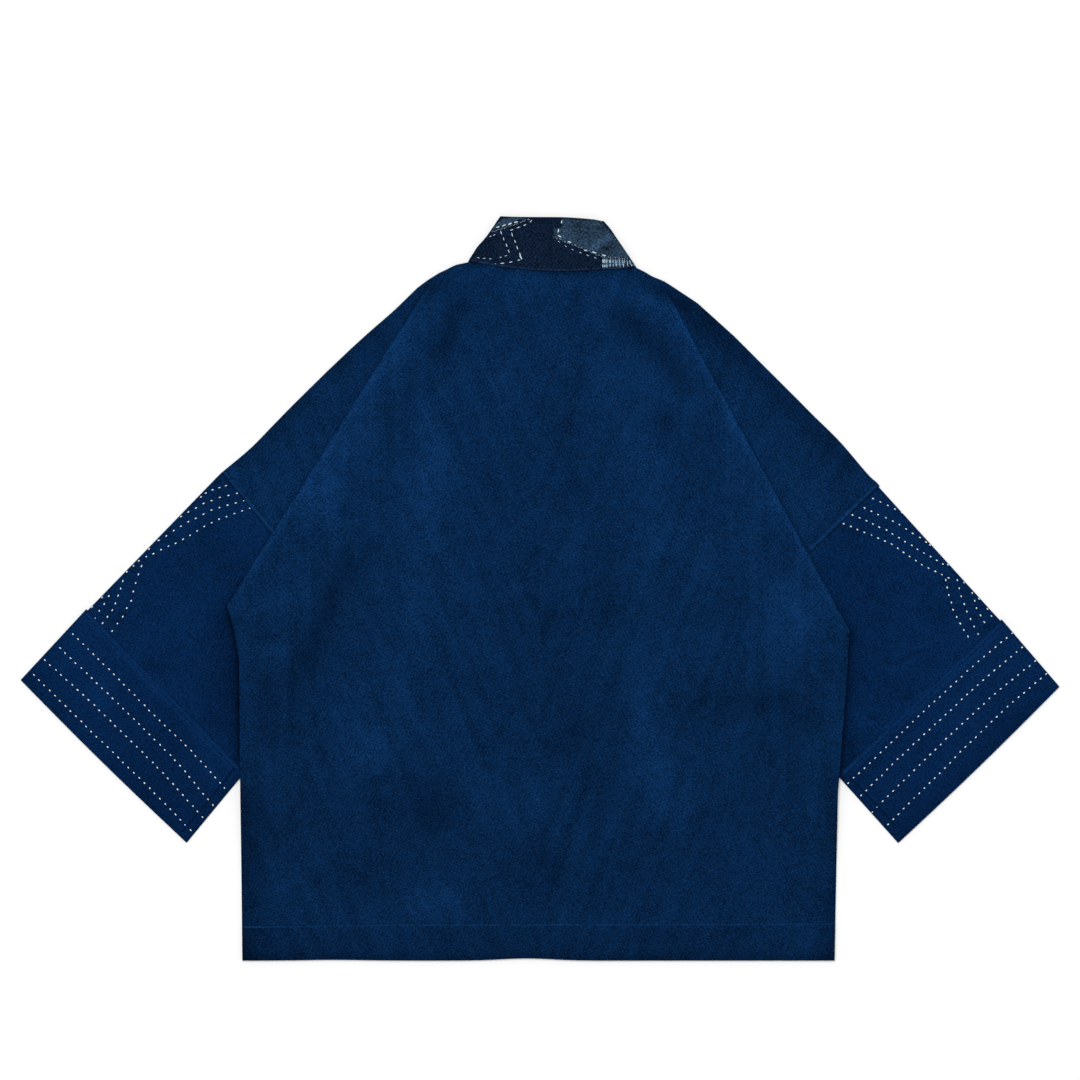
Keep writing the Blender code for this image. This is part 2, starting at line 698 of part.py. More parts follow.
def make_cuff(side, collection):
    half = HALVES[side]
    top, tip, heel, low = half.cuff
    sewn = low - top
    towards_hand = unit((-sewn[1], sewn[0]))
    upper, lower = spaced([top, tip]), spaced([heel, low])
    opening = spaced([tip, heel])[1:-1]
    for number, point in enumerate(opening, start=1):
        share = number / (len(opening) + 1)
        opening[number - 1] = point + towards_hand * CUFF_BOW * math.sin(math.pi * share)
    outline = upper + opening + lower + spaced([low, top])[1:-1]
    lines = []
    for down in (CUFF_LAP, CUFF_LAP + CUFF_CLIMB / 2, CUFF_LAP + CUFF_CLIMB):
        shift = towards_hand * down
        lines.append(spaced([top + shift - sewn * CUFF_OVERRUN, low + shift + sewn * CUFF_OVERRUN]))
    sleeve_inside = 2 * CLOTH + 2 * SEAM

    def lay(point, layer):
        level = CUFF_CLOTH / 2
        if layer == "back":
            past = ((point - top) @ towards_hand - CUFF_LAP) / CUFF_CLIMB
            level += CUFF_CLOTH + GAP + sleeve_inside * (1.0 - smooth_step(past))
        return point[0], point[1], level

    folds = (upper, lower)
    add_tube("cuff_" + side, outline, folds, lines, lay, CUFF_CLOTH, INDIGO, half, collection)


def main():
    for old in list(bpy.data.objects):
        bpy.data.objects.remove(old)
    haori = bpy.data.collections.new("haori")
    bpy.context.scene.collection.children.link(haori)
    make_back(haori)
    for name in PATCHES:
        make_patch(name, haori)
    for side in SIDES:
        make_collar(side, haori)
        make_front(side, haori)
        make_sleeve(side, haori)
        make_cuff(side, haori)


main()
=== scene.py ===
"""A haori laid flat with its back up: indigo slub cotton, the sleeves drawn down so that a flat
pleat folds on each side, white sashiko on sleeves and cuffs, and a dark mended collar."""

import math
import random

import bmesh
import bpy
import numpy as np
from mathutils import Matrix, Vector, noise
from mathutils.bvhtree import BVHTree


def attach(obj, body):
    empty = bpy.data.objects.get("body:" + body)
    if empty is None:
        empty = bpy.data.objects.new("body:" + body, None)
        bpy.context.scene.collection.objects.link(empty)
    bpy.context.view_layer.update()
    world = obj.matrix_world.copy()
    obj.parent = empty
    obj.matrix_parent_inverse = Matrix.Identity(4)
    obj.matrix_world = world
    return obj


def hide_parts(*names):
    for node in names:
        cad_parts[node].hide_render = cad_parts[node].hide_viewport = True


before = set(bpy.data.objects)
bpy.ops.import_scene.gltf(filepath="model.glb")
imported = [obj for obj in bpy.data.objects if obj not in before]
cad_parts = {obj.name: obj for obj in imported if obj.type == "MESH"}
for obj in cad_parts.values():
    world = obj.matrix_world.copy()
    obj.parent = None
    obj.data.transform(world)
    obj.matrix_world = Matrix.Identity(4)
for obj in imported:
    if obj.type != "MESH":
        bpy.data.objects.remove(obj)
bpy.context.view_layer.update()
bpy.ops.object.select_all(action="DESELECT")

# The back

# The back is one wide panel of hand-woven indigo cotton, cut in one with both shoulders and
# folded on each side in a flat pleat. It was washed after dyeing and laid by hand, so it is
# cloudy and streaked in colour and stands in soft waves and fine crinkles.

MM = 0.001
MERGE = 1e-6
CUT_SNAP = 1e-7
FLAT_ANGLE = math.radians(0.1)
SHARP_ANGLE = math.radians(50.0)

SIDES = {-1: "left", 1: "right"}
# The pleat's top fold on each side (X outward), and the angle by which the sleeve was drawn down
PLEATS = {
    -1: ((107.1, 330.2), (327.6, -21.3), math.radians(23.0)),
    1: ((121.8, 328.1), (324.5, -48.8), math.radians(21.0)),
}
# Cloth of the back, and of the fronts, that lies lower than this is in the pleat, in mm
PLEAT_UNDER_BACK = 5.0
PLEAT_UNDER_FRONT = 2.0

OUTLINE = [
    (-42, 390.3), (-74.2, 342.9), (-107.1, 330.2), (-222, 228), (-334.7, 121.5),
    (-476.3, -21.6), (-545.3, -96), (-371, -266.9), (-309.4, -192.2), (-314.6, -198),
    (-312.4, -390.5), (309.2, -390.5), (312.5, -215), (312, -195.9), (375.9, -267.2),
    (545.3, -103), (484.6, -32.4), (355.6, 106.6), (289.9, 177.7), (212.1, 254.8),
    (175.9, 286.9), (121.8, 328.1), (100.8, 337.8), (68, 386.3), (-42, 390.3),
]

# Creases pressed and pushed in by hand: height over the cloth, half width, and the line, in mm
CREASES = [
    (-1.6, 13, [(-76.7, 318.7), (-82, 300), (-92.4, 284.2), (-97.7, 258.8), (-111.3, 226.3)]),
    (1.5, 10, [(-98.7, 302.9), (-117.5, 280), (-132.1, 257.1), (-146.8, 235), (-163.5, 210.9)]),
    (1.9, 17, [(-176.4, 182.2), (-196.3, 158), (-214.2, 124.4), (-226.8, 90.8), (-233.1, 71.9)]),
    (1.3, 20, [(-109.2, 176.9), (-113.4, 143.3), (-117.6, 113.9), (-120.8, 75.1), (-132.3, 45.7)]),
    (-1.7, 16, [
        (-178, 100), (-188.3, 47.3), (-208.2, -2.1), (-226.8, -38.3), (-252, -85.6),
        (-268.8, -117.1),
    ]),
    (1.8, 12, [(-308.5, -6.9), (-287.7, -15.2), (-262.5, -15.2), (-240, -8)]),
    (1.6, 10, [(-309.5, -62.6), (-291.9, -67.7), (-267.8, -66.7), (-250, -60)]),
    (1.4, 14, [(-228.9, -117.1), (-204.8, -140.2), (-186.9, -161.2), (-162.8, -201.1)]),
    (0.9, 18, [(-128.1, -12.1), (-126, -54.1), (-128.1, -117.1)]),
    (-1.9, 14, [
        (74.9, 308.9), (94.7, 281.8), (114.6, 260.8), (133.5, 240), (148.2, 217), (163.9, 190),
    ]),
    (2.2, 12, [(98, 313.1), (122.1, 292.3), (140, 273.4), (152, 250)]),
    (1.1, 14, [(100, 233.3), (115.5, 208.4), (130.2, 187.4)]),
    (1.7, 15, [(83, 181.1), (105, 155.9), (130.2, 124.4), (147, 106.8)]),
    (-1.5, 13, [(120, 192.2), (140.8, 164.3), (155.4, 140.2), (170, 114.4)]),
    (1.6, 16, [(176.4, 213.7), (186.8, 190.7), (199.2, 162.4), (214, 132.9), (226.8, 95.5)]),
    (1, 15, [(105, 71.9), (120.8, 53), (134.4, 29.9)]),
    (-1.1, 17, [(56.8, 49.9), (61, 14.9), (63, -10.6), (75.6, -48.3)]),
    (1.6, 15, [(103, -59.8), (109.2, -106.6), (111.3, -159.1), (117.6, -201.1), (132.2, -242.6)]),
    (-1.6, 18, [(147.5, -140.1), (189, -125.5), (249.9, -113.9), (283.5, -132.8), (306.6, -159.1)]),
    (-1.2, 20, [(36.8, -97.1), (37.8, -151.7), (50.4, -190.6), (52.5, -232.1)]),
    (-1.1, 20, [(-103, -180.6), (-120.8, -211.6), (-115.5, -253.6), (-105, -284.6)]),
    (-0.9, 15, [(-241, -295.6), (-203.7, -302.9), (-158, -297.7)]),
    (1.1, 20, [(-157, -327.1), (-113.4, -332.3), (-63.5, -322.9)]),
    (1.4, 26, [(239.9, 25.2), (273, -12.1), (304.4, -49.7)]),
    (1.1, 4.5, [
        (-289.5, -328.8), (-267.8, -305), (-246.8, -290.3), (-223.7, -274.6), (-205.8, -268.3),
        (-178.8, -264.1),
    ]),
    (0.8, 4.5, [
        (-279.5, -331.8), (-261.8, -314), (-243.8, -300.3), (-221.7, -284.6), (-203.8, -277.3),
    ]),
    (0.9, 6, [(31.5, -385), (50.5, -359.1), (54.5, -327.1)]),
    (-0.9, 9, [(0, -264.6), (8.4, -295.6), (12.6, -327.1), (5.2, -362.6)]),
    (1, 6, [(157.5, -280), (160, -327.1), (150, -372)]),
    (-0.9, 15, [(-30.4, 318.4), (-25.2, 292.4), (-27.3, 250.4)]),
    (0.9, 4.5, [(-384.2, -40.5), (-367.5, -47.8), (-352.9, -58.2)]),
    (0.9, 4.5, [(-391.4, -87.9), (-373.8, -106.6), (-356.2, -123.2)]),
    (0.8, 4.5, [(336.3, -57), (347, -50), (358.8, -40.7)]),
    (1, 5, [(355.2, -82.2), (388.5, -66.7), (425.1, -51)]),
    (0.7, 4.5, [(336.3, -143.2), (351, -139), (366.2, -137.1)]),
    (0.7, 3.5, [(104.1, 209.4), (110, 206), (116.5, 202.2)]),
    (1.6, 9, [(-452, -52), (-420, -86), (-385, -122)]),
    (-1, 12, [(-396, -140), (-388, -158), (-372, -172)]),
    (1.5, 8, [(462, -62), (425, -92), (382, -134), (350, -163)]),
    (-1.1, 10, [(402, -128), (380, -152), (358, -174)]),
]
# Painted light and shade, and tones, paler or darker than the cloth: share, half width, and the
# line, in mm. First painted highlights and shade along the folds, then broad clouds of paler and
# darker tone, then painted shade and highlights along the edges of the cloth and of the cuffs, then
# the collar and its patches
PAINTED_LIGHT_AND_TONES = [
    (0.24, 5, [
        (95, 310), (115.5, 302.9), (128.1, 296.6), (141.8, 290.3), (147, 276.7), (159.6, 260.9),
        (178, 233),
    ]),
    (-0.28, 6, [(112, 322), (134.4, 306.1), (151.2, 295.6), (159.6, 279.8), (172, 259)]),
    (-0.34, 12, [(140, 312), (157.5, 297.7), (185.9, 269.3), (222, 231)]),
    (-0.26, 12, [(215, 238), (262.5, 190.6), (304.5, 146.5), (335, 112)]),
    (-0.18, 14, [(75, 298), (98.7, 271.4), (117.6, 255.7), (138.6, 234.7), (160, 195)]),
    (-0.28, 8, [(-88, 326), (-109, 318), (-121, 305), (-138, 284)]),
    (-0.13, 11, [(-110, 322), (-120.8, 311.3), (-152.3, 284), (-183.8, 255.7), (-222, 222)]),
    (-0.18, 14, [(-232, 212), (-268, 178), (-320, 126)]),
    (-0.18, 10, [(-72, 312), (-88, 284), (-98, 258), (-106, 235)]),
    (0.22, 5, [
        (-106, 311), (-113.4, 304), (-125, 290.3), (-134.4, 274.6), (-144.9, 253.6),
        (-156.5, 235.7), (-178, 206),
    ]),
    (-0.18, 14, [(-196, 44), (-216, -6), (-238, -52), (-268, -118)]),
    (0.18, 17, [(-132, 262), (-155, 235), (-176, 200), (-198, 150)]),
    (0.26, 20, [(-205, 120), (-220, 98), (-240, 78)]),
    (0.17, 22, [(-256, 80), (-212, 66), (-160, 70)]),
    (-0.18, 17, [(-62, 62), (-56, 32), (-58, 0)]),
    (0.12, 18, [(38, 312), (58, 282), (64, 258)]),
    (0.12, 9, [(-62, 332), (-20, 324), (40, 324), (90, 329)]),
    (-0.10, 26, [(58, -62), (72, -120), (68, -170)]),
    (-0.10, 20, [(52, -178), (58, -260), (60, -352)]),
    (0.10, 30, [(-505, -55), (-470, -80), (-435, -105)]),
    (0.10, 28, [(380, -30), (430, -55), (475, -82)]),
    (-0.20, 15, [(-288, -82), (-284, -125), (-282, -178)]),
    (0.22, 18, [(-120, 210), (-108, 150), (-112, 80), (-128, 20), (-142, -50)]),
    (0.16, 20, [(-142, -60), (-156, -120), (-176, -170), (-182, -200)]),
    (0.18, 20, [(-40, 330), (-22, 308), (-10, 290)]),
    (0.16, 14, [(66, 326), (84, 312), (96, 300)]),
    (0.14, 20, [(52, 262), (68, 236), (78, 210)]),
    (0.14, 13, [(196, 206), (206, 170), (214, 140)]),
    (0.20, 16, [(222, 122), (236, 98), (252, 76)]),
    (0.20, 24, [(240, 10), (262, -26), (284, -58)]),
    (0.10, 18, [(112, 140), (118, 80), (132, 30)]),
    (0.20, 17, [(106, -100), (114, -170), (136, -226), (140, -250)]),
    (0.22, 20, [(-146, -334), (-118, -328), (-84, -318)]),
    (0.16, 22, [(240, -352), (268, -362), (296, -372)]),
    (-0.12, 24, [(0, 110), (4, 30), (12, -60), (24, -150), (30, -185)]),
    (-0.14, 24, [(-10, -250), (4, -284), (10, -320)]),
    (-0.14, 20, [(-104, -205), (-114, -236), (-106, -262)]),
    (-0.10, 14, [(172, 196), (172, 150), (176, 96)]),
    (-0.10, 20, [(196, -122), (246, -132), (292, -142)]),
    (-0.28, 24, [(-314, -200), (-313, -260), (-312, -460)]),
    (-0.14, 13, [(313, -190), (311, -260), (309, -460)]),
    (-0.14, 7, [(-420, -391), (0, -391), (420, -391)]),
    (-0.16, 26, [(-332, -20), (-330, -90), (-334, -160)]),
    (-0.14, 40, [(-430, -240), (-385, -215), (-345, -200)]),
    (-0.13, 26, [(552, -106), (470, -182), (376, -272)]),
    (-0.12, 24, [(-352, 84), (-340, 50), (-310, 20)]),
    (0.20, 4, [(-478, -26), (-396, -108.5), (-314, -194)]),
    (0.20, 4, [(486, -37), (401, -116.5), (317, -196)]),
    (0.16, 12, [(-478, -94), (-464, -116), (-448, -132)]),
    (0.14, 14, [(-230, 116), (-240, 92), (-262, 70)]),
    (-0.30, 2.6, [(338, -128), (346, -136), (356, -138), (364, -146)]),
    (0.26, 2.6, [(338, -132), (347, -140.5), (358, -143), (366, -150)]),
    (-0.24, 2.6, [(372, -112), (384, -116), (392, -108)]),
    (-0.24, 2.6, [(350, -74), (372, -80), (392, -68), (412, -62)]),
    (0.20, 2.6, [(352, -78.5), (373, -84.5), (394, -72.5), (412, -66.5)]),
    (-0.24, 2.6, [(-378, -44), (-364, -52), (-350, -60)]),
    (0.20, 2.6, [(-380, -48.5), (-366, -56.5), (-352, -64.5)]),
    (0.55, 4.5, [(80, 384), (70, 371), (57, 356), (50, 346)]),
    (-0.45, 3.6, [(57, 356), (69, 357.5), (84, 361)]),
    (0.30, 5, [(10, 371), (28, 366), (44, 359)]),
    (-0.35, 2, [(8, 379.4), (40, 379), (80, 377)]),
]
TONE_FADE = 15.0
# Soft waves all over, and crinkles that bend: size and height in mm, and which noise
WAVES = ((95.0, 1.6, 11.0), (42.0, 0.8, 23.0), (21.0, 0.4, 37.0))
CRINKLE_SIZE = 17.0
CRINKLE_HEIGHT = 0.45
CRINKLE_NARROW = 3.0
CRINKLE_NOISE = 43.0
BEND = 6.0
BEND_SIZE = 30.0
BEND_NOISES = (51.0, 57.0)
# The laid cloth's loft, how far in from its edge it builds up, and the lowest it sinks, in mm
LOFT = 1.9
EDGE_FADE = 20.0
LOWEST = -0.2
# How soon a crease fades in at its ends, as a share of its length, and how strongly it lifts
CREASE_FADE = 0.3
CREASE_LIFT = 1.5

# Where each body side lies over its sleeve: the pleat's fold and the side below it, bottom up
SIDE_LINES = {
    -1: [(314.6, -198), (315.5, -75), (320.5, -45), (327.6, -21.3), (107.1, 330.2)],
    1: [(312.5, -215), (317.5, -150), (322, -90), (324.5, -48.8), (121.8, 328.1)],
}
# The collar's lower edge, and the painted shadow that it casts on the cloth just below it: how
# dark, and how far down
COLLAR_EDGE = [
    (-74, 342.8), (-42, 336.5), (-10.5, 332.9), (13.7, 331.8), (52.5, 332.9), (100.8, 337.6),
]
COLLAR_SHADOW = 0.42
COLLAR_SHADOW_WIDE = 1.8
# Painted light and shade: crease and wave tops are painted paler and their hollows darker, each
# fold's top gets a painted highlight, and the sleeve beside the pleat and the body's side gets
# painted shadow
PAINTED_SHADE_BY_HEIGHT = 0.10
PAINTED_SHADE_BY_WAVE = 0.05
FOLD_HIGHLIGHT = 0.42
FOLD_HIGHLIGHT_WIDE = 4.0
FOLD_SHADOW = 0.24
SIDE_SHADOW = 0.72
SHADOW_WIDE = 5.0
# How softly a side's painted highlight and shadow start at its low end, turn into the pleat's, and
# end at its top
LOW_END_FADE = 30.0
PLEAT_FADE = 60.0
TOP_END_FADE = 40.0
# Painted shade along the cloth's outline, where it rounds away from the light: how dark, and how
# far in
RIM_SHADE = 0.12
RIM_SHADE_WIDE = 6.0
# The cloth is coloured a little darker lower down, and darker still in the turned-up hem
DEEPER_BELOW = 0.13
DEEPER_FROM = 150.0
DEEPER_OVER = 500.0
HEM_TOP = -354.0
HEM_FADE = 3.0
HEM_DARK = 0.09
# Heights in mm: what is above the first is on the top layer. Below the second the cloth lies
# still, and above the third it has all of its relief
TOP_LAYER = 6.2
STILL_BELOW = 1.25
MOVES_ABOVE = 1.55

# The side of the fine squares, in mm
BACK_STEP = 4.0
# What lies lower than this was drawn down with the sleeve: all of a piece, or none of it
ALL_TURNED = 100.0
NONE_TURNED = -1.0


def smooth_step(t):
    """From 0 to 1, level at both ends."""
    t = np.clip(t, 0.0, 1.0)
    return t * t * (3.0 - 2.0 * t)


def stretches(line):
    """A line's points, the length of each straight stretch, and how far along each point is."""
    points = np.array(line, float)
    lengths = np.linalg.norm(np.diff(points, axis=0), axis=1)
    return points, lengths, np.concatenate([[0.0], np.cumsum(lengths)])


def to_line(x, y, line):
    """Distance from points to a line of straight stretches, and how far along it, 0 to 1."""
    points, lengths, starts = stretches(line)
    nearest = np.full(x.shape, np.inf)
    along = np.zeros(x.shape)
    for start, end, length, before in zip(points, points[1:], lengths, starts):
        run = (end - start) / (length or 1.0)
        t = np.clip((x - start[0]) * run[0] + (y - start[1]) * run[1], 0.0, length)
        distance = np.hypot(x - start[0] - t * run[0], y - start[1] - t * run[1])
        closer = distance < nearest
        nearest[closer] = distance[closer]
        along[closer] = ((before + t) / (starts[-1] or 1.0))[closer]
    return nearest, along


def soft_lines(x, y, rows, fade_share=0.0, fade_mm=0.0):
    """The sum of soft-edged lines at points, each fading out at both of its ends."""
    total = np.zeros(x.shape)
    for strength, width, line in rows:
        distance, along = to_line(x, y, line)
        fade = fade_share + fade_mm / stretches(line)[2][-1]
        ends = smooth_step(np.minimum(along, 1.0 - along) / fade)
        total += strength * np.exp(-((distance / width) ** 2)) * ends
    return total


def soft_noise(x, y, size, kind):
    """Smooth numbers from about -1 to 1 that change over about size millimetres."""
    return np.array([noise.noise((a / size, b / size, kind)) for a, b in zip(x, y)])


def painted_fold_light(x, y, z):
    """A painted highlight along the top of each body side and its pleat, painted shadow on the
    sleeve beside it, and painted shadow on the cloth just below the collar's lower edge.
    """
    shade_and_tone = np.zeros(x.shape)
    for side, line in SIDE_LINES.items():
        points = np.array(line)
        at_side = x * side > 0.0
        distance, _ = to_line(np.abs(x), y, line)
        on_pleat = smooth_step((y - points[-2, 1]) / PLEAT_FADE)
        low_end = smooth_step((y - points[0, 1]) / LOW_END_FADE)
        top_end = smooth_step((points[-1, 1] - y) / TOP_END_FADE)
        dark = SIDE_SHADOW + (FOLD_SHADOW - SIDE_SHADOW) * on_pleat
        dark *= np.exp(-distance / SHADOW_WIDE)
        pale = FOLD_HIGHLIGHT * np.exp(-((distance / FOLD_HIGHLIGHT_WIDE) ** 2)) * on_pleat
        shade_and_tone += np.where(at_side, np.where(z < TOP_LAYER, -dark, pale) * low_end * top_end, 0.0)
    neck = np.array(COLLAR_EDGE)
    under = y < np.interp(x, neck[:, 0], neck[:, 1])
    shadow = COLLAR_SHADOW * np.exp(-to_line(x, y, COLLAR_EDGE)[0] / COLLAR_SHADOW_WIDE)
    return shade_and_tone - np.where(under, shadow, 0.0)


def relief(x, y, z):
    """How far the laid cloth stands over its flat form, and how much paler or darker its colour is
    painted, mostly as painted light and shade.
    """
    waves = sum(height * soft_noise(x, y, size, kind) for size, height, kind in WAVES)
    bent = [
        along + BEND * soft_noise(x, y, BEND_SIZE, kind) for along, kind in zip((x, y), BEND_NOISES)
    ]
    ridged = 1.0 - np.abs(soft_noise(*bent, CRINKLE_SIZE, CRINKLE_NOISE)) * CRINKLE_NARROW
    waves += CRINKLE_HEIGHT * np.clip(ridged, 0.0, 1.0) ** 2
    pressed = soft_lines(x, y, CREASES, fade_share=CREASE_FADE)
    rim = to_line(x, y, OUTLINE)[0]
    lift = (LOFT + waves + CREASE_LIFT * pressed) * smooth_step(rim / EDGE_FADE)
    # Painted light and shade: crease and wave tops paler and hollows darker, highlights and shadows
    # along the folds and shadow under the collar; then the listed tones, painted shade along the
    # outline, and darker below the hem line and lower down
    shade_and_tone = PAINTED_SHADE_BY_HEIGHT * pressed + PAINTED_SHADE_BY_WAVE * waves + painted_fold_light(x, y, z)
    shade_and_tone += soft_lines(x, y, PAINTED_LIGHT_AND_TONES, fade_mm=TONE_FADE)
    shade_and_tone -= RIM_SHADE * np.exp(-rim / RIM_SHADE_WIDE)
    shade_and_tone -= HEM_DARK * smooth_step((HEM_TOP - y) / HEM_FADE)
    shade_and_tone -= DEEPER_BELOW * smooth_step((DEEPER_FROM - y) / DEEPER_OVER)
    return np.maximum(lift, LOWEST), shade_and_tone


def cut_along(mesh, faces, direction, places):
    """Cuts faces square to a direction at each place along it, halving the faces each time."""
    if not places or not faces:
        return
    middle = len(places) // 2
    geometry = {part for face in faces for part in (face, *face.edges, *face.verts)}
    cut = bmesh.ops.bisect_plane(
        mesh, geom=list(geometry), dist=CUT_SNAP, plane_co=direction * places[middle],
        plane_no=direction,
    )
    before, after = [], []
    for part in cut["geom"]:
        if isinstance(part, bmesh.types.BMFace):
            beyond = part.calc_center_median().dot(direction) > places[middle]
            (after if beyond else before).append(part)
    cut_along(mesh, before, direction, places[:middle])
    cut_along(mesh, after, direction, places[middle + 1:])


def spread(low, high, step):
    """Places that part a length evenly, about a step from each other."""
    count = max(1, round((high - low) / step))
    return [low + (high - low) * k / count for k in range(1, count)]


def read(items, key, each=1, kind=float):
    """A number, or so many of them, for every vertex, corner or face of a mesh."""
    found = np.empty(len(items) * each, kind)
    items.foreach_get(key, found)
    return found.reshape(-1, each) if each > 1 else found


def lay_cut(mesh, flat_xy, shift, turned_below):
    """A UV map named cut: where each spot lies in the piece before the sleeve was drawn down."""
    centres = read(mesh.polygons, "center", 3) / MM
    totals = read(mesh.polygons, "loop_total", kind=int)
    sides = np.repeat(np.where(centres[:, 0] < 0.0, -1, 1), totals)
    cut = flat_xy[read(mesh.loops, "vertex_index", kind=int)]
    for side, (apex, foot, turn) in PLEATS.items():
        run = (foot[0] - apex[0], foot[1] - apex[1])
        outside = run[0] * (centres[:, 1] - apex[1]) - run[1] * (np.abs(centres[:, 0]) - apex[0])
        turned = np.repeat((outside > 0.0) | (centres[:, 2] < turned_below), totals)
        turned &= sides == side
        out = np.abs(cut[turned, 0]) - apex[0]
        up = cut[turned, 1] - apex[1]
        cut[turned, 0] = side * (apex[0] + out * math.cos(turn) - up * math.sin(turn))
        cut[turned, 1] = apex[1] + out * math.sin(turn) + up * math.cos(turn)
    layer = mesh.uv_layers.new(name="cut")
    layer.data.foreach_set("uv", (cut * MM + np.array(shift)).ravel())


def put(name, data):
    """A new object in the scene."""
    made = bpy.data.objects.new(name, data)
    bpy.context.scene.collection.objects.link(made)
    return made


def lay_cloth(
    node, material, step, turn=0.0, shift=(0.0, 0.0), turned_below=NONE_TURNED,
    still=(STILL_BELOW, MOVES_ABOVE), nudges=(),
):
    """A thin shell on a CAD panel's form, in fine squares, with the laid cloth's relief.

    A nudge pulls the cloth near a spot or a line: where, how far round it, and the pull, in mm."""
    fine = bmesh.new()
    fine.from_mesh(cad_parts[node].data)
    bmesh.ops.remove_doubles(fine, verts=fine.verts, dist=MERGE)
    bmesh.ops.dissolve_limit(fine, angle_limit=FLAT_ANGLE, verts=fine.verts, edges=fine.edges)
    for angle in (turn, turn + math.pi / 2):
        direction = Vector((math.cos(angle), math.sin(angle), 0.0))
        reach = [v.co.dot(direction) for v in fine.verts]
        places = spread(min(reach), max(reach), step * MM)
        cut_along(fine, list(fine.faces), direction, places)
    bmesh.ops.remove_doubles(fine, verts=fine.verts, dist=MERGE)
    bmesh.ops.recalc_face_normals(fine, faces=fine.faces)
    mesh = bpy.data.meshes.new(node + "_cloth")
    fine.to_mesh(mesh)
    fine.free()
    mesh.materials.append(material)
    spots = read(mesh.vertices, "co", 3) / MM
    lay_cut(mesh, spots[:, :2], shift, turned_below)
    lifted = np.clip((spots[:, 2] - still[0]) / (still[1] - still[0]), 0.0, 1.0)
    lift, shade_and_tone = relief(spots[:, 0], spots[:, 1], spots[:, 2])
    spots[:, 2] += lift * lifted
    for place, reach, pull in nudges:
        line = place if np.ndim(place) == 2 else (place, place)
        away, _ = to_line(spots[:, 0], spots[:, 1], line)
        spots += np.exp(-((away / reach) ** 2))[:, None] * np.array(pull)
    # The painted light and shade, with the tones, are kept on the points, and the cloth's colour is
    # scaled by them
    mesh.attributes.new("shade_and_tone", "FLOAT", "POINT").data.foreach_set("value", shade_and_tone * lifted)
    mesh.vertices.foreach_set("co", (spots * MM).ravel())
    mesh.update()
    cloth = put(node + "_cloth", mesh)
    bpy.context.view_layer.objects.active = cloth
    cloth.select_set(True)
    bpy.ops.object.shade_smooth_by_angle(angle=SHARP_ANGLE)
    cloth.select_set(False)
    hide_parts(node)
    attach(cloth, "root")
    return cloth


def add_node(tree, kind, inputs=None, **settings):
    """A shader node with its settings, each input given a value or wired to an output."""
    made = tree.nodes.new("ShaderNode" + kind)
    for key, value in settings.items():
        setattr(made, key, value)
    for key, value in (inputs or {}).items():
        if isinstance(value, bpy.types.NodeSocket):
            tree.links.new(value, made.inputs[key])
        else:
            made.inputs[key].default_value = value
    return made


def maths(tree, operation, *values):
    """One sum in a shader tree, of numbers or outputs, and what comes out of it."""
    inputs = dict(enumerate(values))
    return add_node(tree, "Math", inputs, operation=operation).outputs[0]


# How rough a noise's finer detail is, and a noise of the same size every way
NOISE_ROUGH = 0.55
EVEN = (1.0, 1.0, 1.0)


def swing(tree, vector, size, stretch=EVEN, detail=2.0, strength=1.0):
    """Noise of about that size in mm, as numbers round 0 that the strength multiplies."""
    stretched = add_node(tree, "VectorMath", {0: vector, 1: stretch}, operation="MULTIPLY")
    noisy = add_node(
        tree, "TexNoise",
        {
            "Vector": stretched.outputs[0], "Scale": 1.0 / (size * MM), "Detail": detail,
            "Roughness": NOISE_ROUGH,
        },
    )
    centred = maths(tree, "SUBTRACT", noisy.outputs["Fac"], 0.5)
    return maths(tree, "MULTIPLY", centred, strength)


# Noises in the cloth: size in mm, stretch, detail and strength
CLOTH_NOISES = {
    "cloud": (85.0, EVEN, 2.0, 0.8),
    "mottle": (14.0, EVEN, 3.0, 1.2),
    "streak": (12.0, (1.0, 0.1, 1.0), 3.0, 2.0),
    "warp": (1.9, (1.0, 0.45, 1.0), 1.0, 1.0),
    "weft": (1.9, (0.45, 1.0, 1.0), 1.0, 1.0),
    "grain": (1.6, EVEN, 1.0, 2.2),
    "vein": (19.0, EVEN, 4.0, 9.0),
    "crowd": (60.0, EVEN, 1.0, 3.0),
}
# Yarns pass over and under at this pitch, and drift sideways by up to half of the drift
YARN_TURN = 2.0 * math.pi / (4.3 * MM)
WEAVE_SHARE = 0.23
DRIFT_SIZE = 12.0 * MM
DRIFT = 4.5 * MM
# Crinkles crowd where their noise is over the first of these. The weave gets no darker than the
# second, nor, with the painted light and shade and the tones, than the third, and slubs over the
# last show pale
CROWD_FROM = -0.35
DARKEST_WEAVE = 0.3
DARKEST = 0.1
SPECKS_OVER = 0.42
# The cloth's roughness, what slubs add to it, and how deep crinkles and clouds are against slubs
ROUGH = 0.88
ROUGH_BY_SLUB = 0.05
CRINKLE_DEPTH = -1.5
CLOUD_DEPTH = 0.6

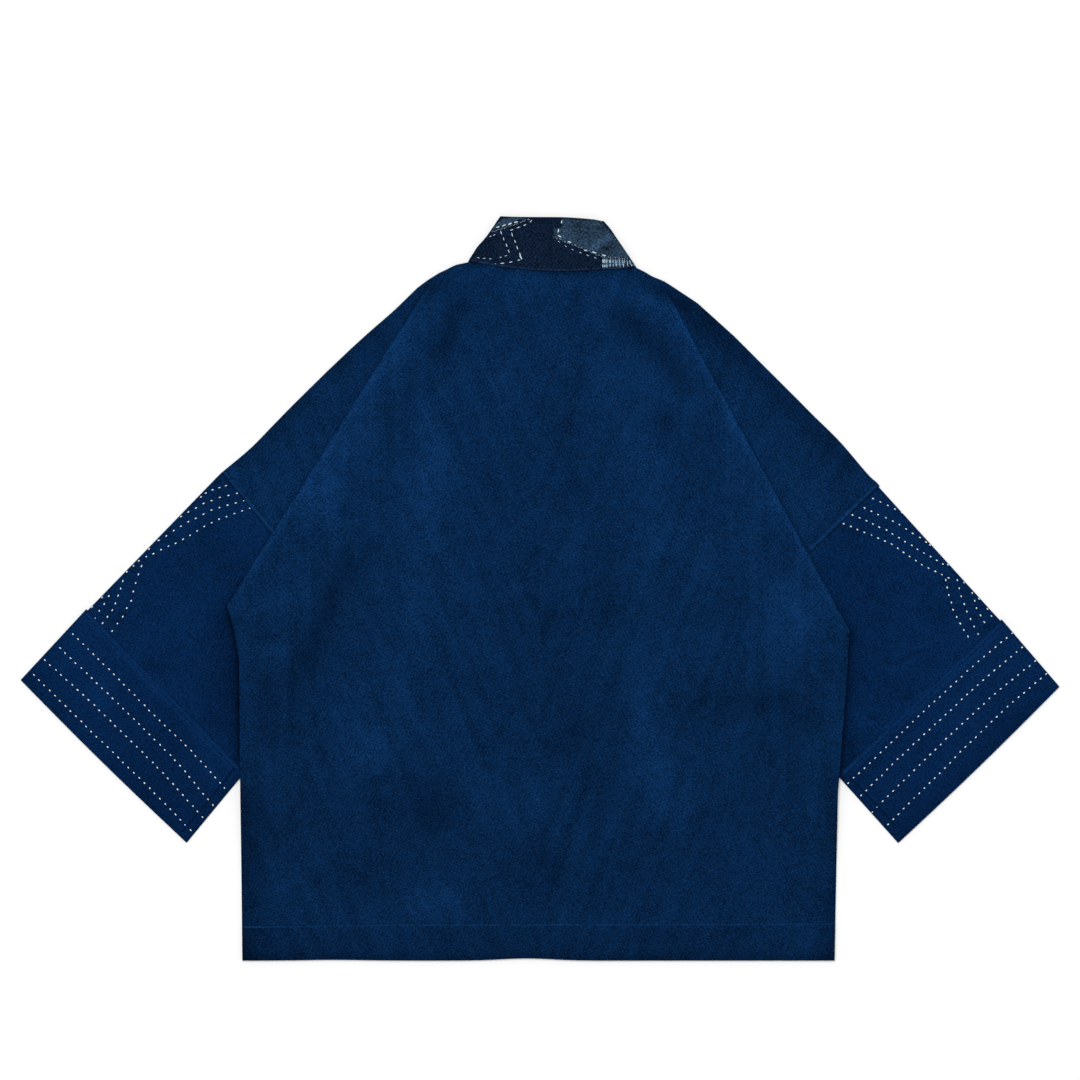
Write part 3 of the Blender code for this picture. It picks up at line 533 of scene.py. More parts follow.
# The weave and the dye: slubs along warp and weft, soft clouds, streaks down the warp; crinkle
# lines are painted darker as painted shade, and the mesh's painted light and shade scale it all
weave = bpy.data.node_groups.new("slub_cotton", "ShaderNodeTree")
for way, kind, names in (
    ("INPUT", "Vector", ["Cut"]), ("INPUT", "Color", ["Dye", "Pale"]),
    ("INPUT", "Float", ["Clouds", "Streaks", "Slubs", "Crinkles", "Specks", "Shade and tone"]),
    ("OUTPUT", "Color", ["Color"]), ("OUTPUT", "Float", ["Roughness", "Height"]),
):
    for name in names:
        weave.interface.new_socket(name=name, in_out=way, socket_type="NodeSocket" + kind)
given = weave.nodes.new("NodeGroupInput").outputs
result = weave.nodes.new("NodeGroupOutput").inputs
swings = {name: swing(weave, given["Cut"], *row) for name, row in CLOTH_NOISES.items()}
clouds = maths(weave, "ADD", swings["cloud"], swings["mottle"])
slubs = maths(weave, "ADD", maths(weave, "ADD", swings["warp"], swings["weft"]), swings["grain"])
drift = add_node(
    weave, "TexNoise", {"Vector": given["Cut"], "Scale": 1.0 / DRIFT_SIZE, "Detail": 1.0}
)
drifted = add_node(
    weave, "VectorMath", {0: drift.outputs["Color"], 1: (DRIFT,) * 3, 2: given["Cut"]},
    operation="MULTIPLY_ADD",
)
yarns = add_node(weave, "SeparateXYZ", {0: drifted.outputs[0]})
turns = [maths(weave, "MULTIPLY", yarns.outputs[k], YARN_TURN) for k in (0, 1)]
over_under = maths(weave, "MULTIPLY", *(maths(weave, "SINE", turn) for turn in turns))
slubs = maths(weave, "MULTIPLY_ADD", over_under, WEAVE_SHARE, slubs)
vein = maths(weave, "SUBTRACT", 1.0, maths(weave, "ABSOLUTE", swings["vein"]))
crowd = maths(weave, "SUBTRACT", swings["crowd"], CROWD_FROM)
crinkles = maths(weave, "MULTIPLY", *(maths(weave, "MAXIMUM", k, 0.0) for k in (vein, crowd)))
# Crinkle lines are painted darker, as painted shade in their grooves; a strength above zero paints
# them paler instead, as a painted highlight
shade = 1.0
for effect, by in (
    (clouds, "Clouds"), (swings["streak"], "Streaks"), (slubs, "Slubs"), (crinkles, "Crinkles"),
):
    shade = maths(weave, "MULTIPLY_ADD", effect, given[by], shade)
# The painted light and shade, with the tones, scale the colour
shading_and_tones = maths(weave, "ADD", given["Shade and tone"], 1.0)
shade = maths(weave, "MULTIPLY", maths(weave, "MAXIMUM", shade, DARKEST_WEAVE), shading_and_tones)
shade = maths(weave, "MAXIMUM", shade, DARKEST)
dyed = add_node(weave, "VectorMath", {0: given["Dye"], "Scale": shade}, operation="SCALE")
over = maths(weave, "MAXIMUM", maths(weave, "SUBTRACT", slubs, SPECKS_OVER), 0.0)
specks = maths(weave, "MULTIPLY", over, given["Specks"])
mixed = add_node(
    weave, "Mix", {0: specks, 6: dyed.outputs[0], 7: given["Pale"]}, data_type="RGBA"
)
raised = maths(weave, "MULTIPLY_ADD", crinkles, CRINKLE_DEPTH, slubs)
for made, socket in (
    (mixed.outputs[2], "Color"),
    (maths(weave, "MULTIPLY_ADD", slubs, ROUGH_BY_SLUB, ROUGH), "Roughness"),
    (maths(weave, "MULTIPLY_ADD", clouds, CLOUD_DEPTH, raised), "Height"),
):
    weave.links.new(made, result[socket])

# Cotton hardly shines, and its worn slubs show paler than the dye
COTTON_GLOSS = 0.01
INDIGO_PALE = (0.04, 0.09, 0.17)


def matt(name, gloss=COTTON_GLOSS):
    """A new matt material, its tree, and what its shader is given."""
    made = bpy.data.materials.new(name)
    made.use_nodes = True
    finish = made.node_tree.nodes["Principled BSDF"].inputs
    finish["Specular IOR Level"].default_value = gloss
    return made, made.node_tree, finish


def cotton(name, dye, pale, clouds, streaks, slubs, crinkles, specks, bump):
    """A cotton cloth of one dye, with its weave, its colour scaled by the painted light and shade
    and the tones kept on the mesh.
    """
    made, tree, finish = matt(name)
    cut = add_node(tree, "UVMap", uv_map="cut")
    shading_and_tones = add_node(tree, "Attribute", attribute_name="shade_and_tone")
    woven = add_node(
        tree, "Group",
        {
            "Cut": cut.outputs[0], "Shade and tone": shading_and_tones.outputs["Fac"], "Dye": (*dye, 1.0),
            "Pale": (*pale, 1.0), "Clouds": clouds, "Streaks": streaks, "Slubs": slubs,
            "Crinkles": crinkles, "Specks": specks,
        },
        node_tree=weave,
    )
    raised = add_node(
        tree, "Bump",
        {"Strength": 1.0, "Distance": bump * MM, "Height": woven.outputs["Height"]},
    )
    tree.links.new(woven.outputs["Color"], finish["Base Color"])
    tree.links.new(woven.outputs["Roughness"], finish["Roughness"])
    tree.links.new(raised.outputs[0], finish["Normal"])
    return made


body_cotton = cotton(
    "indigo body cotton", (0.0023, 0.0196, 0.0700), INDIGO_PALE, clouds=0.54, streaks=0.40,
    slubs=1.04, crinkles=-0.18, specks=0.18, bump=0.35,
)
# Where the laid outline leaves the cut's straight lines: at the neck, shoulders and hem
BODY_PULLS = {
    "left": [
        ((-76.5, 342.5), 9, (5, -0.5, 0)), ((-88, 341), 8, (-0.6, 0.7, 0)),
        ((-304.5, 147.5), 34, (1.8, -1.4, 0)), ((-150, 288), 26, (0.9, -0.7, 0)),
    ],
    "right": [
        ((104.5, 336.5), 9, (-5, 0, 0)), ((119, 330.5), 9, (-1.2, -1.1, 0)),
        ((312, 150), 30, (1.3, 1.2, 0)), ((353, 108.5), 7, (1, 0.9, 0)),
    ],
}
HEM_PULLS = [((-14, -390.5), 38, (0, 2.3, 0)), ((-215, -390.5), 42, (0, 0.8, 0))]

back = lay_cloth(
    "back", body_cotton, BACK_STEP, turned_below=PLEAT_UNDER_BACK,
    nudges=[*BODY_PULLS["left"], *BODY_PULLS["right"], *HEM_PULLS],
)

# The fronts

# Two narrower panels of the same cotton lie flat under the back, face down on the surface,
# joined to it at the shoulder folds and down the sides. Nothing presses creases into them.

fronts = {}
# Side, area in square metres, and how far its weave is shifted, so that no two pieces match
for side, area, shift in (("left", 0.2006, (0.31, 1.7)), ("right", 0.1849, (-0.27, 2.3))):
    front = lay_cloth(
        "front_" + side, body_cotton, BACK_STEP, shift=shift, turned_below=PLEAT_UNDER_FRONT,
        nudges=[*BODY_PULLS[side], *HEM_PULLS],
    )
    fronts[side] = front

# The sleeves

# Each sleeve is a tube of the same cotton, dyed a little bluer, laid flat with its fold on top
# and sewn to the body along the armhole. It carries rows of white sashiko: running stitch in
# thick cotton thread, which start at the armhole and turn in a chevron towards the cuff.

SLEEVE_STEP = 3.0
# Each sleeve's edge is drawn against the body's along the armhole, where the seam closes them
SLEEVE_PULLS = {
    -1: [([(-335.2, 121.2), (-194.5, -51.1)], 3, (0.40, 0.32, 0))],
    1: [([(356.1, 106.3), (192.6, -63.7)], 3, (-0.37, 0.36, 0))],
}
# What each measures flat in metres, all round, its area, and how far its weave is shifted
SLEEVE_SIZES = {-1: ((0.488, 0.211), 0.0918, (-0.9, 0.4)), 1: ((0.475, 0.200), 0.0910, (0.9, 0.4))}
# Which way each cuff's edge runs, in mm, and so which way the fine squares are turned
CUFF_RUN = {-1: (157.5, -159.6), 1: (-168, -155.4)}
CUFF_TURN = {sign: math.atan2(y, x) for sign, (x, y) in CUFF_RUN.items()}

sleeve_cotton = cotton(
    "indigo sleeve cotton", (0.0018, 0.0178, 0.0700), INDIGO_PALE, clouds=0.36, streaks=0.12,
    slubs=0.92, crinkles=-0.30, specks=0.16, bump=0.45,
)
sleeves = {}
for sign, side in SIDES.items():
    flat, area, shift = SLEEVE_SIZES[sign]
    sleeve = lay_cloth(
        "sleeve_" + side, sleeve_cotton, SLEEVE_STEP, CUFF_TURN[sign], shift, ALL_TURNED,
        nudges=SLEEVE_PULLS[sign],
    )
    sleeves[sign] = sleeve

# The cuffs

# Each cuff is a deep band sewn over the sleeve's end, all round, its inner edge turned in and
# topstitched. Four rows of white sashiko run round it, parallel to the edge.

CUFF_SIZES = {-1: ((0.484, 0.102), 0.0482, (-1.4, -0.6)), 1: ((0.475, 0.096), 0.0452, (1.4, -0.6))}
cuff_cotton = cotton(
    "indigo cuff cotton", (0.0018, 0.0178, 0.0715), INDIGO_PALE, clouds=0.36, streaks=0.10,
    slubs=0.80, crinkles=-0.12, specks=0.14, bump=0.35,
)
cuffs = {}
for sign, side in SIDES.items():
    flat, area, shift = CUFF_SIZES[sign]
    cuff = lay_cloth(
        "cuff_" + side, cuff_cotton, SLEEVE_STEP, CUFF_TURN[sign], shift, ALL_TURNED
    )
    cuffs[sign] = cuff

# The sashiko

# Thick white cotton thread, run by hand through the upper cloth and the under one, about two
# millimetres over and five or six under. Each stitch is a short plump float of thread.

STITCH_LONG = 2.35
STITCH_WIDE = 1.4
STITCH_HIGH = 0.7
STITCH_SUNK = 0.15
# How far stitches vary by hand: turned in radians, slipped in mm, and larger or smaller
STITCH_TURN = 0.16
STITCH_SLIP = 0.35
STITCH_VARY = (0.88, 1.12)
# The sides of the cloth that stitches are sewn on: for each, whether it is the under side
TOP = (False,)
BOTH = (False, True)
UNDER = (True,)
# What is laid past the edge goes on the nearest cloth, this high and this near, in metres. On the
# underside nothing is laid past the edge, or where the cloth turns up this steeply
EDGE_LEVEL = 6.0 * MM
OFF_EDGE = 4.0 * MM
FACES_DOWN = 0.7

# Row by row, in mm: the number of stitches, and the line that they follow
SLEEVE_ROWS = {
    -1: [
        (4, [(-329.7, 107.6), (-343.4, 103.4), (-350.7, 100.3)]),
        (8, [(-318.1, 99.5), (-336, 95.5), (-351.8, 89.8), (-368.6, 80.3), (-376.9, 75.1)]),
        (12, [
            (-310.3, 92.5), (-327.6, 87.7), (-345.4, 81.9), (-371.2, 68.8), (-392.7, 55.1),
            (-400.1, 50.9),
        ]),
        (16, [
            (-304.6, 84.1), (-336, 73), (-352.8, 64.6), (-375.9, 50.9), (-413.7, 33.1),
            (-421.1, 29.4),
        ]),
        (9, [(-418.3, 23.6), (-424.2, 5.8), (-428.8, -12.1), (-438.4, -29.9), (-448.9, -44.6)]),
        (7, [(-437.9, 7.9), (-442.1, -6.8), (-448.4, -22.6), (-458.9, -36.2)]),
        (4, [(-452.6, -7.9), (-462, -23.1), (-466.8, -32)]),
        (1, [(-354.8, 97), (-356.8, 95.6)]),
        (1, [(-409.2, 42.2), (-411.2, 40.2)]), (1, [(-425.7, 25.2), (-427.7, 23.2)]),
        (1, [(-432.7, 18.2), (-434.7, 16.2)]), (1, [(-458.7, -8.3), (-460.7, -10.3)]),
        (1, [(-469.2, -18.8), (-471.2, -20.8)]),
    ],
    1: [
        (4, [(349.7, 94.5), (372.8, 83.5)]),
        (10, [(340.2, 84.5), (376.9, 67.7), (405.3, 48.8)]),
        (15, [(328.1, 77.2), (363.3, 61.4), (395.9, 41.5), (423.2, 25.7)]),
        (17, [(319.2, 68.2), (368.6, 46.7), (401.1, 24.7), (428.4, 11)]),
        (9, [(425.9, 8.9), (428.8, -5.8), (433.7, -22.6), (437.9, -32), (449.4, -50.4)]),
        (8, [(437.9, 8.9), (442.1, -8.9), (448.9, -25.7), (459.9, -47.8)]),
        (5, [(453.6, -4.7), (458.9, -22.6), (466.2, -35.2)]),
        (2, [(470, -21.5), (474.1, -28.9)]),
        (1, [(379, 80.7), (381, 78.5)]), (1, [(409.5, 47.7), (411.5, 45.5)]),
        (1, [(428.5, 27.2), (430.5, 25)]), (1, [(445.5, 8.9), (447.5, 6.7)]),
        (1, [(461.5, -8.3), (463.5, -10.5)]),
    ],
}
# Cuff rows: start, end, and how far the row bows towards the sleeve at each quarter, in mm
CUFF_ROWS = {
    -1: [
        ((-490.4, -47.8), (-330.8, -209.5), (1.3, 0.9, 2.5)),
        ((-504, -62.5), (-343.4, -227.3), (2.6, 3.9, 4.7)),
        ((-519.8, -75.1), (-353.9, -239.9), (3, 3.4, 3.5)),
        ((-531.3, -90.8), (-366.5, -253.6), (0.2, 0.5, 0.9)),
    ],
    1: [
        ((495.6, -46.7), (323.4, -204.2), (2.3, 2.3, 0.9)),
        ((506.1, -61.4), (337.1, -217.4), (2.6, 2.5, 2.3)),
        ((519.8, -76.1), (348.6, -234.7), (4, 3.9, 2.2)),
        ((531.3, -89.8), (365.4, -247.3), (3.4, 3, 1.2)),
    ],
}
CUFF_STITCHES = 31

# The thread's roughness, its fluff's size, range and depth, and the palest that it gets
THREAD_ROUGH = 0.85
FLUFF_SIZE = 0.6
FLUFF = 0.3
FLUFF_DEPTH = 0.2 * MM
THREAD_PALEST = 1.08


def thread(name, tint, darkest=0.72):
    """Soft cotton thread, matt, its twist showing as finer and paler flecks."""
    made, tree, finish = matt(name)
    finish["Roughness"].default_value = THREAD_ROUGH
    place = add_node(tree, "TexCoord").outputs["Object"]
    fluff = swing(tree, place, FLUFF_SIZE)
    depth = add_node(
        tree, "MapRange", {0: fluff, 1: -FLUFF, 2: FLUFF, 3: darkest, 4: THREAD_PALEST}
    ).outputs[0]
    colour = add_node(tree, "VectorMath", {0: tint, "Scale": depth}, operation="SCALE")
    bump = add_node(tree, "Bump", {"Strength": 1.0, "Distance": FLUFF_DEPTH, "Height": fluff})
    tree.links.new(colour.outputs[0], finish["Base Color"])
    tree.links.new(bump.outputs[0], finish["Normal"])
    return made


white_thread = thread("white sashiko thread", (0.86, 0.94, 0.91), darkest=0.92)

# One stitch, plump in its middle and laid along X, which all rows are copied from
bpy.ops.mesh.primitive_uv_sphere_add(segments=8, ring_count=5, radius=0.5 * MM)
stitch = bpy.context.active_object
bpy.ops.object.mode_set(mode="EDIT")
bpy.ops.mesh.select_all(action="SELECT")
bpy.ops.transform.rotate(value=math.pi / 2, orient_axis="Y", center_override=(0.0, 0.0, 0.0))
bpy.ops.transform.resize(value=(STITCH_LONG, STITCH_WIDE, STITCH_HIGH))
bpy.ops.object.mode_set(mode="OBJECT")
bpy.ops.object.shade_smooth()
stitch.select_set(False)


def skin(*cloths):
    """The finished surface of some pieces, to lay other things on."""
    points, faces = [], []
    for cloth in cloths:
        first = len(points)
        points += [v.co.copy() for v in cloth.data.vertices]
        faces += [[first + k for k in face.vertices] for face in cloth.data.polygons]
    return BVHTree.FromPolygons(points, faces)


def along_line(line, shares):
    """Points and directions at shares of a line of straight stretches, in mm."""
    points, lengths, starts = stretches(line)
    found = []
    for share in shares:
        far = share * starts[-1]
        k = int(np.clip(np.searchsorted(starts, far) - 1, 0, len(lengths) - 1))
        run = (points[k + 1] - points[k]) / lengths[k]
        found.append((points[k] + run * (far - starts[k]), run))
    return found


def lay_on(surface, spot, run, sunk, below=False):
    """A matrix that lays a thing on a surface at X, Y in mm, its length along run."""
    way = -1.0 if below else 1.0
    hit, normal, _, _ = surface.ray_cast(
        Vector((spot[0] * MM, spot[1] * MM, way)), Vector((0.0, 0.0, -way))
    )
    if below and (hit is None or abs(normal.z) < FACES_DOWN):
        return None
    if hit is None:
        hit, normal, _, gap = surface.find_nearest(Vector((spot[0] * MM, spot[1] * MM, EDGE_LEVEL)))
        if gap > OFF_EDGE:
            return None
    if normal.z * way < 0.0:
        normal = -normal
    across = normal.cross(Vector((run[0], run[1], 0.0))).normalized()
    length = across.cross(normal)
    turned = Matrix((length, across, normal)).transposed().to_4x4()
    return Matrix.Translation(hit - normal * sunk * MM) @ turned


def join_copies(name, model, matrices, material):
    """One piece made of copies of a model, each laid by its matrix."""
    copies = []
    for matrix in matrices:
        copy = put(name, model.data.copy())
        copy.data.transform(matrix)
        copy.select_set(True)
        copies.append(copy)
    bpy.context.view_layer.objects.active = copies[0]
    bpy.ops.object.join()
    joined = bpy.context.view_layer.objects.active
    joined.select_set(False)
    joined.name = name
    joined.data.materials.clear()
    joined.data.materials.append(material)
    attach(joined, "root")
    return joined


def sew(name, cloths, rows, material, size=(1.0, 1.0, 1.0), unders=TOP, inset=0.5):
    """Stitches in rows, on the upper side of what is sewn, the under side, or both.

    Each row is a number of stitches and a line, whose ends they keep off by inset of a pitch."""
    surface = skin(*cloths)
    matrices = []
    for below in unders:
        for count, line in rows:
            pitch = 1.0 / (count - 1.0 + 2.0 * inset) if count > 1 else 1.0
            first = inset if count > 1 else 0.5
            for spot, run in along_line(line, [(k + first) * pitch for k in range(count)]):
                turn = chance.uniform(-STITCH_TURN, STITCH_TURN)
                run = np.array((
                    run[0] * math.cos(turn) - run[1] * math.sin(turn),
                    run[0] * math.sin(turn) + run[1] * math.cos(turn),
                ))
                slip = chance.uniform(-STITCH_SLIP, STITCH_SLIP) * size[1]
                spot = spot + slip * np.array((run[0] - run[1], run[0] + run[1]))
                grown = [k * chance.uniform(*STITCH_VARY) for k in size]
                laid = lay_on(surface, spot, run, STITCH_SUNK * size[2], below)
                if laid:
                    matrices.append(laid @ Matrix.Diagonal((*grown, 1.0)))
    sewn = join_copies(name, stitch, matrices, material)
    return sewn


def bowed(start, end, bows):
    """A row from start to end that bows towards the sleeve by so many mm at each quarter."""
    start, end = np.array(start), np.array(end)
    run = (end - start) / np.linalg.norm(end - start)
    out = np.array((-run[1], run[0])) * math.copysign(1.0, run[0])
    bows = (0.0, *bows, 0.0)
    return [start + (end - start) * k / 4 + out * bow for k, bow in enumerate(bows)]


chance = random.Random(7)
for sign, side in SIDES.items():
    sew(
        "sashiko_sleeve_" + side, [sleeves[sign]], SLEEVE_ROWS[sign], white_thread,
        unders=BOTH, inset=0.0,
    )
    rows = [(CUFF_STITCHES, bowed(*row)) for row in CUFF_ROWS[sign]]
    sew(
        "sashiko_cuff_" + side, [cuffs[sign]], rows, white_thread, unders=BOTH,
        inset=0.0,
    )

# Seams and topstitching

# The armhole seams are turned towards the body and run down, which leaves a low ridge. Each
# cuff's inner edge is turned in and run down twice, and the hem once, all in indigo thread.

# A welt has a ring of six points at this pitch along its line, in mm
SEAM_STEP = 2.5
# Where the six lie across it, as shares of its width and height, and how much paler or darker each
# is painted, as painted shade at a welt's feet and a painted highlight on its top
SEAM_SHAPE = ((-0.5, -0.3), (-0.44, 0.5), (-0.22, 1.0), (0.22, 1.0), (0.44, 0.5), (0.5, -0.3))
SEAM_SHADING = (-0.35, -0.12, 0.2, 0.2, -0.12, -0.35)
# The armhole's welt has painted shadow along one foot and a painted highlight on top, the collar's
# centre seam painted shade on one side and a highlight on the other, the cuff's end seam painted
# shade all across, and the collar's seam a strong painted highlight
ARMHOLE_SHADING = (-0.8, -0.8, 0.22, 0.40, 0.25, 0.0)
CENTRE_SHADING = (-0.3, -0.3, -0.2, 0.1, 0.3, 0.2)
LINE_SHADING = (-0.3, -0.45, -0.55, -0.55, -0.45, -0.3)
PIPED_SHADING = (-0.5, 0.2, 0.9, 0.9, 0.2, -0.5)
# Each seam's line, its welt's width and height, and how far from it welt and stitches lie, in mm
ARMHOLES = {
    -1: [(-334, 120.6), (-280.5, 55.1)],
    1: [(285, 38.4), (309.1, 61.6), (355.4, 106.2)],
}
ARMHOLE_WIDE = 5.4
ARMHOLE_HIGH = 0.9
ARMHOLE_IN = 2.7
ARMHOLE_STITCHES_IN = 3.4
CUFF_EDGES = {
    -1: [(-474.2, -23.8), (-392.2, -106.3), (-313, -188.5)],
    1: [(482, -34.9), (397.7, -113.6), (316, -192.1)],
}
CUFF_EDGE_WIDE = 5.0
CUFF_EDGE_IN = 2.9
CUFF_STITCHES_IN = (3.7, 8.3)
CUFF_HEIGHTS = {"top": 0.55, "under": 0.25}
HEM_WIDE = 2.6
HEM_HIGH = 0.3
CUFF_SEAMS = {-1: [(-319.5, -187.3), (-375, -255.4)], 1: [(323.6, -196), (373, -248.6)]}
CUFF_SEAM_WIDE = 1.7
CUFF_SEAM_HIGH = 0.2
HEM_RUN = [(-311, -355.4), (-147, -353.3), (307.5, -352.3)]
HEM_STITCHES = 200
UNDER_HEM = {-1: [(-311, -355.4), (-62, -353.3)], 1: [(307.5, -352.3), (62, -353.3)]}
PLAIN_PITCH = 3.1
PLAIN_STITCH = (0.74, 0.42, 0.5)


def beside(line, out):
    """A nearly straight line moved sideways by so many mm, to the left of its run."""
    points = np.array(line)
    run = (points[-1] - points[0]) / np.linalg.norm(points[-1] - points[0])
    return points + out * np.array((-run[1], run[0]))


def lay_seam(
    name, cloths, line, width, height, material, below=False, shade_and_tone=SEAM_SHADING, taper=1.0
):
    """A low welt of turned cloth along a line, made from the points of what it lies on.

    Its width changes evenly along the line, to taper times what it was at the start."""
    surface = skin(*cloths)
    count = max(1, round(stretches(line)[2][-1] / SEAM_STEP))
    rings = []
    for k, (spot, run) in enumerate(along_line(line, [k / count for k in range(count + 1)])):
        across = np.array((-run[1], run[0])) * width * (1.0 + (taper - 1.0) * k / count)
        laid = [
            lay_on(surface, spot + across * share, run, -rise * height, below)
            for share, rise in SEAM_SHAPE
        ]
        if all(laid):
            rings.append([matrix.translation for matrix in laid])
    welt = bmesh.new()
    rows = [[welt.verts.new(point) for point in ring] for ring in rings]
    for row, following in zip(rows, rows[1:]):
        for k in range(len(row)):
            j = (k + 1) % len(row)
            welt.faces.new((row[k], row[j], following[j], following[k]))
    welt.faces.new(rows[0])
    welt.faces.new(rows[-1])
    bmesh.ops.recalc_face_normals(welt, faces=welt.faces)
    mesh = bpy.data.meshes.new(name)
    welt.to_mesh(mesh)
    welt.free()
    mesh.shade_smooth()
    layer = mesh.uv_layers.new(name="cut")
    for corner in mesh.loops:
        layer.data[corner.index].uv = mesh.vertices[corner.vertex_index].co.xy
    # The welt's painted light and shade: a share for each of its six points
    shades = mesh.attributes.new("shade_and_tone", "FLOAT", "POINT").data
    shades.foreach_set("value", np.tile(shade_and_tone, len(rings)))
    mesh.materials.append(material)
    seam = put(name, mesh)
    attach(seam, "root")
    return seam


def plain_rows(*lines):
    """Rows of plain topstitching, with as many stitches as each line is long."""
    return [(round(math.dist(line[0], line[-1]) / PLAIN_PITCH), line) for line in lines]


indigo_thread = thread("indigo sewing thread", (0.0090, 0.0480, 0.1400))


def topstitch(name, cloths, rows, size=PLAIN_STITCH, unders=TOP):
    """Rows of stitches in indigo sewing thread."""
    sew("topstitch_" + name, cloths, rows, indigo_thread, size, unders)


for sign, side in SIDES.items():
    ridge = lay_seam(
        "seam_armhole_" + side, [back, sleeves[sign]], beside(ARMHOLES[sign], ARMHOLE_IN),
        ARMHOLE_WIDE, ARMHOLE_HIGH, body_cotton, shade_and_tone=ARMHOLE_SHADING,
    )
    rows = plain_rows(beside(ARMHOLES[sign], ARMHOLE_STITCHES_IN))
    topstitch("armhole_" + side, [ridge], rows)
    edges = [
        lay_seam(
            f"seam_cuff_{side}_{where}", [cuffs[sign]],
            beside(CUFF_EDGES[sign], sign * CUFF_EDGE_IN), CUFF_EDGE_WIDE, high, cuff_cotton,
            where == "under",
        )
        for where, high in CUFF_HEIGHTS.items()
    ]
    rows = plain_rows(*(beside(CUFF_EDGES[sign], sign * out) for out in CUFF_STITCHES_IN))
    topstitch("cuff_" + side, [cuffs[sign], *edges], rows, unders=BOTH)
    lay_seam(
        "seam_cuff_end_" + side, [cuffs[sign]], CUFF_SEAMS[sign], CUFF_SEAM_WIDE, CUFF_SEAM_HIGH,
        cuff_cotton, shade_and_tone=LINE_SHADING,
    )
    rows = plain_rows(UNDER_HEM[sign])
    topstitch("under_hem_" + side, [fronts[side]], rows, unders=UNDER)
hem = lay_seam("seam_hem", [back], HEM_RUN, HEM_WIDE, HEM_HIGH, body_cotton)
topstitch("hem", [back, hem], [(HEM_STITCHES, HEM_RUN)])

# The collar

# The collar is a doubled band of very dark indigo cotton in two lengths, joined at the centre
# back and sewn on all round the neck and down both fronts.

COLLAR_STEP = 3.0
# The band is still below the first height, and has all of its relief above the second, in mm
COLLAR_STILL = (3.2, 4.2)
# Its corners are drawn in, and its two lengths are drawn together at the centre seam
COLLAR_PULLS = {
    "left": [
        ((-65, 357), 10, (-1.9, 0.6, 0)), ((-73, 346), 7, (-1.3, 0.2, 0)),
        ([(12.8, 394), (12.8, 330)], 3, (0.35, 0, 0)), *HEM_PULLS,
    ],
    "right": [((69, 387.5), 6.5, (-0.7, -1.2, 0)), *HEM_PULLS],
}
collar_cotton = cotton(
    "dark collar cotton", (0.0045, 0.0115, 0.0300), (0.06, 0.09, 0.14), clouds=0.7, streaks=0.1,
    slubs=1.3, crinkles=-0.1, specks=0.45, bump=0.4,
)
collars = []
for side, area in (("left", 0.0457), ("right", 0.0455)):
    collar = lay_cloth(
        "collar_" + side, collar_cotton, COLLAR_STEP, shift=(0.2, 0.9), still=COLLAR_STILL,
        nudges=COLLAR_PULLS[side],
    )
    collars.append(collar)

# Two seams: the line, the welt's width and height, and its painted light and shade
COLLAR_SEAM = [
    (-71.5, 344.2), (-42, 338.5), (-10.5, 335), (13.7, 333.9), (52.5, 335), (99, 339.6),
]
CENTRE_SEAM = [(13, 387.8), (13, 335.5)]
for name, line, wide, high, shade_and_tone in (
    ("seam_collar", COLLAR_SEAM, 2.8, 0.4, PIPED_SHADING),
    ("seam_collar_centre", CENTRE_SEAM, 2.2, 0.25, CENTRE_SHADING),
):
    lay_seam(name, collars, line, wide, high, collar_cotton, shade_and_tone=shade_and_tone)

# Patches and mending

# Two faded pieces of old indigo cloth are laid on the collar behind the neck, their raw edges
# frayed, and held with running stitches. A worn corner is darned with close pale threads.

patch_cotton = cotton(
    "faded patch cotton", (0.0215, 0.0450, 0.0810), (0.20, 0.27, 0.33), clouds=1.3, streaks=0.3,
    slubs=1.3, crinkles=0.2, specks=0.6, bump=0.4,
)
darn_cotton = cotton(
    "darned patch cotton", (0.0300, 0.0720, 0.1250), (0.26, 0.35, 0.42), clouds=1.2, streaks=0.2,
    slubs=1.3, crinkles=0.1, specks=0.6, bump=0.4,
)
faded_thread = thread("faded mending thread", (0.58, 0.74, 0.80), darkest=0.85)
# The patches' corners and edges are drawn out and down onto the collar
PATCH_PULLS = {
    "left": [((-46, 380), 9, (-3.4, 0.6, -0.4)), ((-24, 387), 9, (0, 1.6, -0.2))],
    "right": [
        ((60, 388), 12, (3.6, 1.2, -0.6)), ((78, 368), 12, (4.4, 1.6, -0.8)),
        ((69.5, 388), 6.5, (-0.9, -1.5, 0)),
        ((88, 350), 10, (4.6, 1, -0.8)), ((36, 388), 12, (0, 1.6, -0.2)),
    ],
}
patches = []
for side, flat, area in (("left", (0.039, 0.010), 0.00015), ("right", (0.076, 0.042), 0.0017)):
    patch = lay_cloth(
        "patch_" + side, patch_cotton, COLLAR_STEP, shift=(1.2, 1.9), still=COLLAR_STILL,
        nudges=PATCH_PULLS[side],
    )
    patches.append(patch)

# The worn corner is darned over: the line down the middle of the darn
DARN = [(65.2, 340.5), (100.4, 340.6)]
darn = lay_seam(
    "collar_darn", collars, DARN, width=13.6, height=0.35, material=darn_cotton,
    taper=0.44,
)

